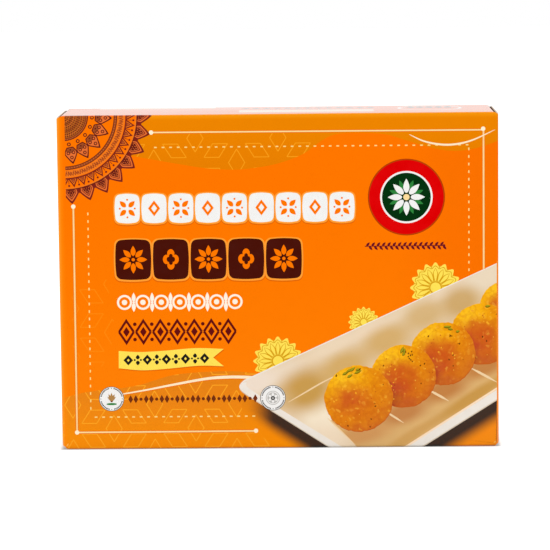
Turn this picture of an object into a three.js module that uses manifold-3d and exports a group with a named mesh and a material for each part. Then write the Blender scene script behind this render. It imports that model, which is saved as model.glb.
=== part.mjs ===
// A shut tuck-end sweets carton of folded paperboard, standing on its long narrow side.
// Millimetres, +Z up. The wide printed front panel faces -Y. The origin is the middle of the base.
//
// The carton is one folded blank. Four body panels (front, top, back, base) wrap round the X axis.
// At each short end a closure panel, hinged on the front panel, covers the two dust flaps that are
// folded in from the top and the base, and its tuck edge slides in behind the back panel.
// It is filled and can't be seen into, so it is one solid out to the board's outer faces.
//
// The wrapped body is one long extrusion. Each fold, cut corner and open slit is then taken off it
// with a cutter drawn from the sizes below.
import * as THREE from "three";
import { mergeVertices } from "three/addons/utils/BufferGeometryUtils.js";
import Module from "manifold-3d";

// Overall size
const WIDTH = 250; // X, across the front panel
const DEPTH = 63; // Y, front to back
const HEIGHT = 191.5; // Z, base to top panel

// Board and folds
const BOARD = 0.5; // thickness of the paperboard
const CREASE_R = 1.1; // outer radius of the long creases, front and back
const HINGE_R = 1.3; // outer radius of the upright folds of the end closures
const ARC_STEPS = 6; // facets in a quarter turn

// Outer radius of the folds where the top and base panels turn into their dust flaps
const DUST_FOLD_R = { left: 2.9, right: 1.8 };

// Cut corners of the wide panels: run along X, drop along Z, and how far the cut swells outwards
const CORNERS = [
  { end: -1, side: 1, run: 4.6, drop: 2.0, swell: 0.05 }, // top left
  { end: 1, side: 1, run: 3.4, drop: 1.7, swell: 0.05 }, // top right
  { end: -1, side: -1, run: 3.5, drop: 2.5, swell: 0.1 }, // base left
  { end: 1, side: -1, run: 2.8, drop: 2.6, swell: 0.2 }, // base right
];

// End closures
const CLOSURE_BOARD = 0.9; // the stiff rim that the closure panel shows, board and tuck together
const CLOSURE_DROP = 2.2; // how far the closure's long edges stay inside the top and base
const SLIT = 0.7; // open gap between the closure and the dust flap fold
const SLIT_DEPTH = 5.5; // how deep that gap runs
const FRONT_LAP = 1.9; // the front panel's board stays whole this far behind its face
const BACK_LAP = 0.9; // the back panel's raw end stops this far short of the closure's face
const TUCK_GAP = 0.4; // gap between the tuck edge's fold and the back panel
const TUCK_GAP_DEPTH = 4.0; // how deep that gap runs

const CLEAR = 1; // cutters run this far out of the body
const OVER = 0.02; // and their arcs this far past the faces they blend into

const X = WIDTH / 2;
const Y = DEPTH / 2;

const wasm = await Module();
wasm.setup();

function toSolid(geometry) {
  const bare = geometry.index ? geometry.toNonIndexed() : geometry.clone();
  bare.deleteAttribute("normal");
  bare.deleteAttribute("uv");
  const merged = mergeVertices(bare, 1e-4);
  return new wasm.Manifold(
    new wasm.Mesh({
      numProp: 3,
      vertProperties: merged.attributes.position.array,
      triVerts: new Uint32Array(merged.index.array),
    }),
  );
}

function toGeometry(solid) {
  const mesh = solid.getMesh();
  const stride = mesh.numProp;
  const position = new Float32Array(mesh.numVert * 3);
  for (let i = 0; i < mesh.numVert; i++)
    for (let k = 0; k < 3; k++)
      position[3 * i + k] = mesh.vertProperties[stride * i + k];
  const geometry = new THREE.BufferGeometry();
  geometry.setAttribute("position", new THREE.BufferAttribute(position, 3));
  geometry.setIndex(new THREE.BufferAttribute(new Uint32Array(mesh.triVerts), 1));
  const flat = geometry.toNonIndexed();
  flat.computeVertexNormals();
  return flat;
}

function polygon(points) {
  const shape = new THREE.Shape();
  points.forEach(([u, v], i) => (i ? shape.lineTo(u, v) : shape.moveTo(u, v)));
  shape.closePath();
  return shape;
}

// Points of a circular arc about (cu, cv), from one angle to another in degrees.
function arc(cu, cv, r, from, to) {
  const points = [];
  for (let i = 0; i <= ARC_STEPS; i++) {
    const a = THREE.MathUtils.degToRad(from + ((to - from) * i) / ARC_STEPS);
    points.push([cu + r * Math.cos(a), cv + r * Math.sin(a)]);
  }
  return points;
}

// Extrudes a shape drawn on the plane of the two axes u and v, from `from` to `to` along w.
function prism(points, u, v, from, to) {
  const w = new THREE.Vector3().crossVectors(u, v);
  const sum = w.x + w.y + w.z; // +1 or -1: the extrusion runs along or against its axis
  const geometry = new THREE.ExtrudeGeometry(polygon(points), {
    depth: to - from,
    steps: 1,
    bevelEnabled: false,
    curveSegments: 1,
  });
  geometry.applyMatrix4(new THREE.Matrix4().makeBasis(u, v, w));
  const start = sum > 0 ? from : -to;
  geometry.translate(w.x * start, w.y * start, w.z * start);
  return toSolid(geometry);
}

const AX = new THREE.Vector3(1, 0, 0);
const AY = new THREE.Vector3(0, 1, 0);
const AZ = new THREE.Vector3(0, 0, 1);

// Mirrors drawing points to the left end (end -1) and to the base (side -1).
const atEnd = (points, end) => points.map(([x, other]) => [end * x, other]);
const atSide = (points, side) =>
  points.map(([x, z]) => [x, side > 0 ? z : HEIGHT - z]);

// The four body panels in one wrapped section, drawn in (y, z).
function bodySection() {
  const r = CREASE_R;
  return [
    ...arc(Y - r, r, r, -90, 0),
    ...arc(Y - r, HEIGHT - r, r, 0, 90),
    ...arc(-Y + r, HEIGHT - r, r, 90, 180),
    ...arc(-Y + r, r, r, 180, 270),
  ];
}

// What the closure's upright hinge fold takes off the front edge, drawn in (x, y).
function hingeCutter() {
  const r = HINGE_R;
  const fold = arc(X - r, -Y + r, r, -90, 0);
  fold[0][1] -= OVER;
  fold[fold.length - 1][0] += OVER;
  return [...fold, [X + CLEAR, -Y + r], [X + CLEAR, -Y - CLEAR], [X - r, -Y - CLEAR]];
}

// What a cut corner takes off the wide panels, drawn in (x, z) for the top of the right end.
function cornerCutter({ run, drop, swell }) {
  const steps = 4;
  const cut = [];
  for (let i = 0; i <= steps; i++) {
    const t = i / steps;
    const out = 1 - swell * Math.sin(Math.PI * t);
    cut.push([X - run * (1 - t) * out, HEIGHT - drop * t * out]);
  }
  cut[0][1] += OVER;
  cut[steps][0] += OVER;
  return [
    ...cut,
    [X + CLEAR, HEIGHT - drop],
    [X + CLEAR, HEIGHT + CLEAR],
    [X - run, HEIGHT + CLEAR],
  ];
}

// What lies open beside and above the closure at the top of the right end, drawn in (x, z):
// the round of the dust flap's fold, the slit, and the step down to the closure's long edge.
function slitCutter(foldR) {
  const wall = X - CLOSURE_BOARD - SLIT;
  const fold = arc(wall - foldR, HEIGHT - foldR, foldR, 90, 0);
  fold[0][1] += OVER;
  return [
    ...fold,
    [wall, HEIGHT - SLIT_DEPTH],
    [wall + SLIT, HEIGHT - SLIT_DEPTH],
    [wall + SLIT, HEIGHT - CLOSURE_DROP],
    [X + CLEAR, HEIGHT - CLOSURE_DROP],
    [X + CLEAR, HEIGHT + CLEAR],
    [wall - foldR, HEIGHT + CLEAR],
  ];
}

// What lies open where the tuck edge turns in behind the back panel, drawn in (x, y).
function tuckCutter() {
  const r = HINGE_R;
  const tuck = Y - BOARD - TUCK_GAP;
  const fold = arc(X - r, tuck - r, r, 0, 90);
  fold[0][0] += OVER;
  return [
    [X + CLEAR, tuck - r],
    ...fold,
    [X - TUCK_GAP_DEPTH, tuck],
    [X - TUCK_GAP_DEPTH, Y - BOARD],
    [X - BACK_LAP, Y - BOARD],
    [X - BACK_LAP, Y + CLEAR],
    [X + CLEAR, Y + CLEAR],
  ];
}

let body = prism(bodySection(), AY, AZ, -X, X);
for (const end of [-1, 1]) {
  const foldR = end < 0 ? DUST_FOLD_R.left : DUST_FOLD_R.right;
  body = body
    .subtract(prism(atEnd(hingeCutter(), end), AX, AY, -CLEAR, HEIGHT + CLEAR))
    .subtract(prism(atEnd(tuckCutter(), end), AX, AY, -CLEAR, HEIGHT + CLEAR));
  for (const side of [-1, 1])
    body = body.subtract(
      prism(
        atSide(atEnd(slitCutter(foldR), end), side),
        AX,
        AZ,
        -Y + FRONT_LAP,
        Y - BOARD,
      ),
    );
}
for (const corner of CORNERS)
  body = body.subtract(
    prism(
      atSide(atEnd(cornerCutter(corner), corner.end), corner.side),
      AX,
      AZ,
      -Y - CLEAR,
      Y + CLEAR,
    ),
  );

const board = new THREE.MeshStandardMaterial({
  color: new THREE.Color(0.98, 0.47, 0.02),
  roughness: 0.38,
  metalness: 0.0,
});

const carton = new THREE.Mesh(toGeometry(body), board);
carton.name = "carton";

const group = new THREE.Group();
group.add(carton);

export default group;
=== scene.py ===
"""A shut sweets carton of folded, printed and varnished paperboard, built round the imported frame.

The carton is made as its folded blank is: a front panel that turns the long creases and the upright
hinge folds, a back panel with raw ends, a top and a base panel that turn down into dust flaps, and a
closure panel at each short end that tucks in behind the back panel. Each is a sheet of board with a
printed outer face and a raw inner one.

The print is drawn in millimetres on each flat panel from named sizes, as fields of colour and simple
ornaments, laid over one another and cut into one flat sheet of faces before it is folded.
"""

import math
import random

import bpy
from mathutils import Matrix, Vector
from mathutils.geometry import delaunay_2d_cdt


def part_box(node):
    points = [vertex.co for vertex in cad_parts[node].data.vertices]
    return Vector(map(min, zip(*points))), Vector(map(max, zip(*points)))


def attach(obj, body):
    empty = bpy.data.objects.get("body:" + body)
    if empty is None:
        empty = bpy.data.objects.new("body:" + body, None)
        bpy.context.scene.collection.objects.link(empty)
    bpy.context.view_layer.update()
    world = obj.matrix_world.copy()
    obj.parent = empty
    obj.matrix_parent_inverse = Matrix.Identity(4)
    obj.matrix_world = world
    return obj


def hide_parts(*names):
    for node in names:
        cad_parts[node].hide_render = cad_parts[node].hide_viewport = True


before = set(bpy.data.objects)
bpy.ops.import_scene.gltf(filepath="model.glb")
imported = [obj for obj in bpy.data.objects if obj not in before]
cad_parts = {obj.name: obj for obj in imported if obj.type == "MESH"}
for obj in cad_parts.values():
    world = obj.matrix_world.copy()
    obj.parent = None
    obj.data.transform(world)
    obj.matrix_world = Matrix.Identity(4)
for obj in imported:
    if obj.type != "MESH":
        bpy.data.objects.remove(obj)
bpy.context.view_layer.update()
lo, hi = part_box("carton")

MM = 0.001
HALF_W = (hi.x - lo.x) / 2 / MM  # 125
HALF_D = (hi.y - lo.y) / 2 / MM  # 31.5
HIGH = (hi.z - lo.z) / MM  # 191.5

# Folds, in millimetres
BOARD = 0.45
CREASE_R = 1.4
HINGE_R = 1.3
DUST_FOLD_R = {-1: 2.9, 1: 1.8}
CLOSURE_T = 0.9
SLIT = {-1: 0.12, 1: 0.8}
BACK_LAP = 0.9
TUCK_GAP = 0.35
CLOSURE_DROP = {-1: 1.0, 1: 0.7}  # how far each closure's top edge stays below the top panel
CLOSURE_LIFT = 2.2  # and its low edge above the base
CORNER_R = {-1: 3.8, 1: 3.0}  # how round the two low corners are worn
DUST_FLAP = 26.0
TUCK_FLAP = 16.0
QUARTER = math.pi / 2

rng = random.Random(41)


# ---------------------------------------------------------------- colour


def lin(rgb):
    """sRGB 0 to 255 to linear."""
    out = []
    for c in rgb:
        c = max(0.0, c) / 255.0
        out.append(c / 12.92 if c <= 0.04045 else ((c + 0.055) / 1.055) ** 2.4)
    return out


SPREAD = 1.12  # the light a printed face gives back for a base colour of 1
GLEAM = 0.045  # the varnish's own reflection, face on


def tint_of(rgb):
    """The varnish over an ink reflects in the ink's own hue, so that deep inks stay deep."""
    t = lin(rgb)
    top = max(max(t), 1e-4)
    k = min(1.0, 0.6 * top / GLEAM)
    return [c / top * k for c in t]


def ink_rgb(rgb, main=None):
    """The base colour that is seen as rgb in the soft light. main is the ink whose varnish lies over it."""
    tint = tint_of(main or rgb)
    return [min(0.93, max(0.0, (c - GLEAM * k) / SPREAD)) for c, k in zip(lin(rgb), tint)]


PALETTE = {
    # ground and fields
    "ochre_line": (247, 156, 24),
    "low_line": (251, 166, 36),
    "orange_line": (252, 136, 14),
    "line_shade": (232, 116, 6),
    "maroon": (122, 34, 24),
    "maroon_dark": (98, 28, 20),
    "mandala_fill": (228, 112, 50),
    "mandala_band": (240, 122, 30),
    "mandala_mid": (176, 92, 28),
    "mandala_ring": (150, 72, 34),
    "scribble": (160, 68, 28),
    "cream": (250, 218, 154),
    "cream_side": (250, 208, 144),
    "cream_dash": (250, 216, 132),
    "cream_dot": (255, 240, 208),
    "swoosh": (252, 232, 196),
    "white": (240, 240, 238),
    "halo": (254, 158, 50),
    "title_shade": (222, 100, 2),
    "script_white": (252, 240, 222),
    "cocoa": (68, 15, 6),
    "script_dark": (96, 14, 14),
    "small_dark": (112, 46, 16),
    "plum": (104, 16, 30),
    "yellow": (252, 224, 86),
    "yellow_line": (214, 158, 20),
    "ribbon_shade": (226, 168, 30),
    "black": (28, 26, 24),
    "red": (219, 0, 2),
    "red_rim": (176, 62, 4),
    "green": (1, 46, 12),
    "leaf": (44, 128, 58),
    "wheat": (176, 132, 78),
    "grey": (92, 92, 92),
    "pale_grey": (188, 186, 182),
    "seal_dark": (66, 66, 66),
    "top_band": (236, 214, 190),
    # the sweets on their plate
    "plate_rim": (236, 229, 219),
    "plate_edge": (214, 200, 178),
    "rim_warm": (250, 222, 188),
    "fold_edge": (240, 136, 44),
    "plate_glint": (238, 208, 162),
    "pista": (158, 150, 26),
    "pista_dark": (112, 88, 8),
    "fleck": (104, 52, 6),
    "grain_light": (252, 200, 70),
    "grain_glow": (242, 168, 40),
    "grain_deep": (190, 88, 22),
    # board
    "raw": (228, 212, 196),
    "scuff": (252, 184, 84),
}


# ---------------------------------------------------------------- materials

_materials = {}


def node(nt, kind, x=0, y=0, **values):
    n = nt.nodes.new(kind)
    n.location = (x, y)
    for k, v in values.items():
        setattr(n, k, v)
    return n


def board_finish():
    """Node group: the varnished board's fine grain as a normal, and its roughness."""
    g = bpy.data.node_groups.new("board_finish", "ShaderNodeTree")
    g.interface.new_socket("Normal", in_out="OUTPUT", socket_type="NodeSocketVector")
    g.interface.new_socket("Roughness", in_out="OUTPUT", socket_type="NodeSocketFloat")
    out = node(g, "NodeGroupOutput", 900, 0)
    tc = node(g, "ShaderNodeTexCoord", -900, 0)
    fibre = node(g, "ShaderNodeTexNoise", -650, 200)
    fibre.inputs["Scale"].default_value = 900.0
    fibre.inputs["Detail"].default_value = 4.0
    fibre.inputs["Roughness"].default_value = 0.6
    sag = node(g, "ShaderNodeTexNoise", -650, -100)
    sag.inputs["Scale"].default_value = 46.0
    sag.inputs["Detail"].default_value = 2.0
    for n in (fibre, sag):
        g.links.new(tc.outputs["Object"], n.inputs["Vector"])
    low = node(g, "ShaderNodeBump", -100, -100)
    low.inputs["Strength"].default_value = 0.1
    low.inputs["Distance"].default_value = 0.0005
    g.links.new(sag.outputs["Fac"], low.inputs["Height"])
    fine = node(g, "ShaderNodeBump", 200, 100)
    fine.inputs["Strength"].default_value = 0.22
    fine.inputs["Distance"].default_value = 0.00004
    g.links.new(fibre.outputs["Fac"], fine.inputs["Height"])
    g.links.new(low.outputs["Normal"], fine.inputs["Normal"])
    rough = node(g, "ShaderNodeMapRange", 200, -250)
    rough.inputs["From Min"].default_value = 0.3
    rough.inputs["From Max"].default_value = 0.7
    rough.inputs["To Min"].default_value = 0.07
    rough.inputs["To Max"].default_value = 0.13
    g.links.new(fibre.outputs["Fac"], rough.inputs["Value"])
    g.links.new(fine.outputs["Normal"], out.inputs["Normal"])
    g.links.new(rough.outputs["Result"], out.inputs["Roughness"])
    return g


FINISH = board_finish()


def base_material(key, seen, gloss=0.5):
    """A printed, varnished material without its colour nodes, seen as the given colour."""
    rgb = ink_rgb(seen)
    m = bpy.data.materials.new(key)
    m.use_nodes = True
    nt = m.node_tree
    bsdf = nt.nodes["Principled BSDF"]
    bsdf.location = (600, 0)
    finish = node(nt, "ShaderNodeGroup", 250, -300)
    finish.node_tree = FINISH
    nt.links.new(finish.outputs["Normal"], bsdf.inputs["Normal"])
    nt.links.new(finish.outputs["Roughness"], bsdf.inputs["Roughness"])
    bsdf.inputs["Specular IOR Level"].default_value = gloss
    bsdf.inputs["Specular Tint"].default_value = (*tint_of(seen), 1)
    bsdf.inputs["Base Color"].default_value = (*rgb, 1)
    m.diffuse_color = (*rgb, 1)
    return m, nt, bsdf


def object_coords(nt, x=-1100, y=0):
    return node(nt, "ShaderNodeTexCoord", x, y).outputs["Object"]


def noise_fac(nt, vector, scale, detail=3.0, rough=0.5, x=-700, y=0):
    n = node(nt, "ShaderNodeTexNoise", x, y)
    n.inputs["Scale"].default_value = scale
    n.inputs["Detail"].default_value = detail
    n.inputs["Roughness"].default_value = rough
    nt.links.new(vector, n.inputs["Vector"])
    return n.outputs["Fac"]


def mix_colour(nt, fac, a, b, x=0, y=0, blend="MIX"):
    """a and b are colours or sockets; fac is a socket."""
    n = node(nt, "ShaderNodeMix", x, y, data_type="RGBA", blend_type=blend)
    nt.links.new(fac, n.inputs["Factor"])
    for value, socket in ((a, n.inputs["A"]), (b, n.inputs["B"])):
        if isinstance(value, bpy.types.NodeSocket):
            nt.links.new(value, socket)
        else:
            socket.default_value = (*value, 1)
    return n.outputs["Result"]


def ramp(nt, fac, stops, x=0, y=0, mode="EASE"):
    n = node(nt, "ShaderNodeValToRGB", x, y)
    n.color_ramp.interpolation = mode
    el = n.color_ramp.elements
    while len(el) < len(stops):
        el.new(0.5)
    for e, (pos, col) in zip(el, stops):
        e.position = pos
        e.color = (*col, 1) if len(col) == 3 else (col[0],) * 3 + (1,)
    nt.links.new(fac, n.inputs["Fac"])
    return n.outputs["Color"]


def map_range(nt, value, a, b, c=0.0, d=1.0, x=0, y=0, smooth=False):
    n = node(nt, "ShaderNodeMapRange", x, y)
    n.interpolation_type = "SMOOTHSTEP" if smooth else "LINEAR"
    for k, v in (("From Min", a), ("From Max", b), ("To Min", c), ("To Max", d)):
        n.inputs[k].default_value = v
    nt.links.new(value, n.inputs["Value"])
    return n.outputs["Result"]


def ink(key):
    """A flat ink: its colour mottled a little by the way it lies on the board."""
    if key in _materials:
        return _materials[key]
    rgb = ink_rgb(PALETTE[key])
    m, nt, bsdf = base_material(key, PALETTE[key])
    v = object_coords(nt)
    fac = noise_fac(nt, v, 150.0, 4.0, 0.65)
    fac = map_range(nt, fac, 0.3, 0.7, x=-450)
    deep = [c * 0.965 for c in rgb]
    light = [min(0.95, c * 1.02 + 0.002) for c in rgb]
    nt.links.new(mix_colour(nt, fac, deep, light, x=-150), bsdf.inputs["Base Color"])
    _materials[key] = m
    return m


def raw_board(key, rgb, speck=0.12):
    if key in _materials:
        return _materials[key]
    m = bpy.data.materials.new(key)
    m.use_nodes = True
    nt = m.node_tree
    bsdf = nt.nodes["Principled BSDF"]
    c = ink_rgb(rgb)
    v = object_coords(nt)
    fac = noise_fac(nt, v, 1400.0, 5.0, 0.7)
    dark = [x * (1 - 2 * speck) for x in c]
    col = mix_colour(nt, map_range(nt, fac, 0.35, 0.65, x=-450), dark, c, x=-150)
    nt.links.new(col, bsdf.inputs["Base Color"])
    rough = map_range(nt, fac, 0.2, 0.8, 0.7, 0.95, x=-150, y=-250)
    nt.links.new(rough, bsdf.inputs["Roughness"])
    bump = node(nt, "ShaderNodeBump", 200, -300)
    bump.inputs["Strength"].default_value = 0.5
    bump.inputs["Distance"].default_value = 0.00008
    nt.links.new(fac, bump.inputs["Height"])
    nt.links.new(bump.outputs["Normal"], bsdf.inputs["Normal"])
    bsdf.inputs["Specular IOR Level"].default_value = 0.2
    _materials[key] = m
    return m


# ---------------------------------------------------------------- drawing, in panel millimetres


def rot2(p, a, cx=0.0, cz=0.0):
    c, s = math.cos(a), math.sin(a)
    return (cx + p[0] * c - p[1] * s, cz + p[0] * s + p[1] * c)


def circle(cx, cz, r, n=40, squash=1.0):
    return [
        (
            cx + r * math.cos(2 * math.pi * i / n),
            cz + squash * r * math.sin(2 * math.pi * i / n),
        )
        for i in range(n)
    ]


def bezier(p0, p1, p2, p3, n=10, last=True):
    out = []
    for i in range(n + (1 if last else 0)):
        t = i / n
        a, b, c, d = (1 - t) ** 3, 3 * t * (1 - t) ** 2, 3 * t * t * (1 - t), t**3
        out.append(
            (
                a * p0[0] + b * p1[0] + c * p2[0] + d * p3[0],
                a * p0[1] + b * p1[1] + c * p2[1] + d * p3[1],
            )
        )
    return out


def smooth(points, per=6):
    """A Catmull-Rom curve through the points."""
    out = []
    n = len(points)
    for i in range(n - 1):
        p0 = points[max(0, i - 1)]
        p1, p2 = points[i], points[i + 1]
        p3 = points[min(n - 1, i + 2)]
        for k in range(per):
            t = k / per
            out.append(
                tuple(
                    0.5
                    * (
                        2 * p1[j]
                        + (p2[j] - p0[j]) * t
                        + (2 * p0[j] - 5 * p1[j] + 4 * p2[j] - p3[j]) * t * t
                        + (3 * p1[j] - p0[j] - 3 * p2[j] + p3[j]) * t**3
                    )
                    for j in (0, 1)
                )
            )
    out.append(points[-1])
    return out


def offset_line(points, half):
    """The points moved sideways by half (a number or one for each point), to the left of the way."""
    out = []
    n = len(points)
    for i, p in enumerate(points):
        a = points[max(0, i - 1)]
        b = points[min(n - 1, i + 1)]
        dx, dz = b[0] - a[0], b[1] - a[1]
        d = math.hypot(dx, dz) or 1.0
        h = half[i] if isinstance(half, (list, tuple)) else half
        m = 1.0
        if 0 < i < n - 1:  # keep the width round a corner
            ux, uz = p[0] - a[0], p[1] - a[1]
            l1 = math.hypot(ux, uz) or 1.0
            m = 1.0 / max(0.55, (ux * dx + uz * dz) / (l1 * d))
        out.append((p[0] - dz / d * h * m, p[1] + dx / d * h * m))
    return out


class Art:
    """The print of one panel: polygons in order, each over the ones before it."""

    def __init__(self):
        self.layers = []  # (ink key, points, clip name)
        self.clips = {}
        self.clip = None

    def poly(self, key, points):
        self.layers.append((key, [tuple(p) for p in points], self.clip))

    def disc(self, key, cx, cz, r, n=40):
        self.poly(key, circle(cx, cz, r, n))

    def ring(self, key, cx, cz, r0, r1, n=64, a0=0.0, a1=360.0):
        """A band between two radii, in pieces that don't close on themselves."""
        pieces = max(1, int(round((a1 - a0) / 120)))
        for k in range(pieces):
            b0 = math.radians(a0 + (a1 - a0) * k / pieces)
            b1 = math.radians(a0 + (a1 - a0) * (k + 1) / pieces)
            m = max(4, n // 3)
            outer = [
                (
                    cx + r1 * math.cos(b0 + (b1 - b0) * i / m),
                    cz + r1 * math.sin(b0 + (b1 - b0) * i / m),
                )
                for i in range(m + 1)
            ]
            inner = [
                (
                    cx + r0 * math.cos(b1 + (b0 - b1) * i / m),
                    cz + r0 * math.sin(b1 + (b0 - b1) * i / m),
                )
                for i in range(m + 1)
            ]
            self.poly(key, outer + inner)

    def stroke(self, key, points, width, taper=False, closed=False):
        if closed:
            n = len(points)
            half = n // 2
            self.stroke(key, points[: half + 1], width)
            self.stroke(key, points[half:] + points[:1], width)
            return
        if taper:
            n = len(points) - 1
            w = [
                max(0.06, width / 2 * math.sin(math.pi * (0.04 + 0.92 * i / n)) ** 0.8)
                for i in range(n + 1)
            ]
            minus = [-x for x in w]
        else:
            w, minus = width / 2, -width / 2
        left = offset_line(points, w)
        right = offset_line(points, minus)
        self.poly(key, right + left[::-1])

    def dashes(self, key, a, b, width, dash, pitch):
        length = math.hypot(b[0] - a[0], b[1] - a[1])
        ux, uz = (b[0] - a[0]) / length, (b[1] - a[1]) / length
        n = int((length - dash) / pitch + 0.5)
        for i in range(n + 1):
            s = i * pitch
            p = (a[0] + ux * s, a[1] + uz * s)
            q = (p[0] + ux * dash, p[1] + uz * dash)
            self.stroke(key, [p, q], width)


def leaf(cx, cz, ang, length, half, n=7, point=0.55):
    """A leaf or petal from (cx, cz) outwards along ang, pointed at its far end."""
    side = []
    for i in range(n + 1):
        t = i / n
        w = half * math.sin(math.pi * t**point) ** 0.9 if 0 < t < 1 else 0.0
        side.append((length * t, w))
    pts = [rot2(p, ang, cx, cz) for p in side]
    pts += [rot2((p[0], -p[1]), ang, cx, cz) for p in reversed(side[1:-1])]
    return pts


def drop(cx, cz, ang, r0, r1, half, n=8, fat=0.42, foot=0.35):
    """A pointed petal on a ring: base at r0, tip at r1 from (cx, cz). foot is the base's share of the width."""
    pts = []
    for i in range(n + 1):
        t = i / n
        if t >= fat:
            s = (t - fat) / (1 - fat)
            w = half * (1 - s**1.5) * (1 - 0.12 * math.sin(math.pi * s))
        else:
            w = half * (foot + (1 - foot) * math.sin(QUARTER * t / fat))
        pts.append((r0 + (r1 - r0) * t, w))
    up = [rot2(p, ang, cx, cz) for p in pts]
    down = [rot2((p[0], -p[1]), ang, cx, cz) for p in reversed(pts[:-1])]
    return up + down


def shrink(points, k):
    cx = sum(p[0] for p in points) / len(points)
    cz = sum(p[1] for p in points) / len(points)
    return [(cx + (p[0] - cx) * k, cz + (p[1] - cz) * k) for p in points]


# ---- ornaments


def mandala(art, cx, cz, start, stop):
    """A fine-line round ornament. start and stop are the angles, in degrees, that the panel can show."""
    line, deep, fill = "maroon", "maroon_dark", "mandala_fill"
    a0, a1 = start - 8, stop + 8

    def at(r, deg, side=0.0):
        return rot2((r, side), math.radians(deg), cx, cz)

    def steps(step, phase, pad=7.0):
        first = math.ceil((start - pad - phase) / step)
        last = math.floor((stop + pad - phase) / step)
        return [phase + step * k for k in range(first, last + 1)]

    def band(key, r0, r1):
        art.ring(key, cx, cz, r0, r1, 108, a0, a1)

    # outer pointed petals
    for deg in steps(12.1, -0.3):
        a = math.radians(deg)
        art.poly(line, leaf(*at(41.8, deg + 6.05), a + math.radians(6.05), 3.0, 1.1, 5))
        art.poly(line, drop(cx, cz, a, 41.6, 50.2, 4.4, 12, 0.3, 0.86))
        art.poly(fill, drop(cx, cz, a, 42.0, 48.7, 3.55, 10, 0.3, 0.86))
        art.poly(line, drop(cx, cz, a, 42.0, 47.7, 2.95, 10, 0.3, 0.86))
        art.poly(fill, drop(cx, cz, a, 42.3, 47.0, 2.5, 8, 0.3, 0.86))
        art.poly(deep, drop(cx, cz, a, 42.3, 46.5, 2.15, 8, 0.3, 0.86))
        for r, side in ((42.9, -1.3), (42.9, 0.0), (42.9, 1.3), (43.9, -0.7), (43.9, 0.75), (44.9, 0.0), (44.7, -0.9), (44.6, 0.95), (45.6, 0.1)):
            art.disc(fill, *at(r, deg, side), 0.26, 6)
    band("mandala_band", 40.9, 41.7)
    band(deep, 41.6, 42.1)

    # zigzag band
    band(line, 35.3, 35.9)
    for deg in steps(8.2, 0.1):
        a = math.radians(deg)

        def tri(r0, r1, half, a=a):
            return [rot2(p, a, cx, cz) for p in ((r0, -half), (r1, 0.0), (r0, half))]

        art.poly(line, tri(35.7, 41.0, 2.85))
        art.poly("mandala_band", tri(36.1, 39.5, 1.82))
        art.poly(line, tri(36.2, 38.7, 1.36))
        art.poly(fill, tri(36.6, 37.9, 0.62))
        art.disc(deep, *at(37.0, deg), 0.28, 6)
    for deg in steps(8.2, -4.0):
        art.disc(line, *at(39.85, deg), 0.62, 10)
        art.stroke(line, [at(38.9, deg), at(36.9, deg)], 0.34)

    # band of small curls
    band("mandala_band", 31.0, 34.9)
    for n, deg in enumerate(steps(2.35, 0.4)):
        lift = 0.35 * math.sin(2.1 * n)
        art.stroke(
            "scribble",
            [at(31.7 + lift, deg - 0.9), at(33.4 + lift, deg - 0.5), at(34.1, deg + 0.5), at(32.6, deg + 1.1), at(31.9 + lift, deg + 0.5)],
            0.42,
        )
        if n % 3 == 0:
            art.stroke("scribble", [at(32.9, deg - 1.3), at(33.1, deg + 1.6)], 0.5)

    # double ring with a row of beads
    band("mandala_ring", 28.8, 30.6)
    band(deep, 28.7, 29.1)
    band(deep, 30.3, 30.7)
    for deg in steps(2.9, 0.0):
        art.disc(fill, *at(29.7, deg), 0.27, 6)

    # hanging petals with three small circles in each
    for deg in steps(18.95, -3.0, 12):
        a = math.radians(deg)
        art.poly(deep, drop(cx, cz, a, 18.0, 27.8, 3.7, 12, 0.4, 0.5))
        art.poly(fill, drop(cx, cz, a, 18.7, 26.5, 3.08, 12, 0.4, 0.5))
        art.poly("mandala_ring", drop(cx, cz, a, 18.8, 21.6, 2.5, 8, 0.5, 0.55))
        for r, side in ((21.3, -1.5), (21.3, 1.5), (24.0, 0.0)):
            p = at(r, deg, side)
            art.ring(deep, p[0], p[1], 0.5, 1.02, 15)
            art.disc(fill, p[0], p[1], 0.48, 8)
        art.disc(deep, *at(19.6, deg), 0.5, 8)
    for deg in steps(18.95, -3.5, 12):
        p = at(16.4, deg)
        art.ring(deep, p[0], p[1], 0.55, 1.12, 18)

    # dense heart
    art.disc("mandala_mid", cx, cz, 13.9, 80)
    band("mandala_ring", 12.9, 14.1)
    band(deep, 13.7, 14.2)
    band(deep, 12.7, 13.0)
    for n, deg in enumerate(steps(4.2, 0.0)):
        art.disc(fill, *at(13.35, deg), 0.22, 6)
    for k in range(9):
        r = 11.9 - 1.28 * k
        gap = math.degrees(1.25 / r)
        for n, deg in enumerate(steps(gap, gap * 0.5 * (k % 2), 4)):
            art.disc(deep, *at(r, deg), 0.42, 6)
            if k % 2 == 0:
                art.disc(fill, *at(r - 0.62, deg + gap / 2), 0.24, 6)
        if k in (2, 5):
            band(deep, r - 0.78, r - 0.5)


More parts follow.
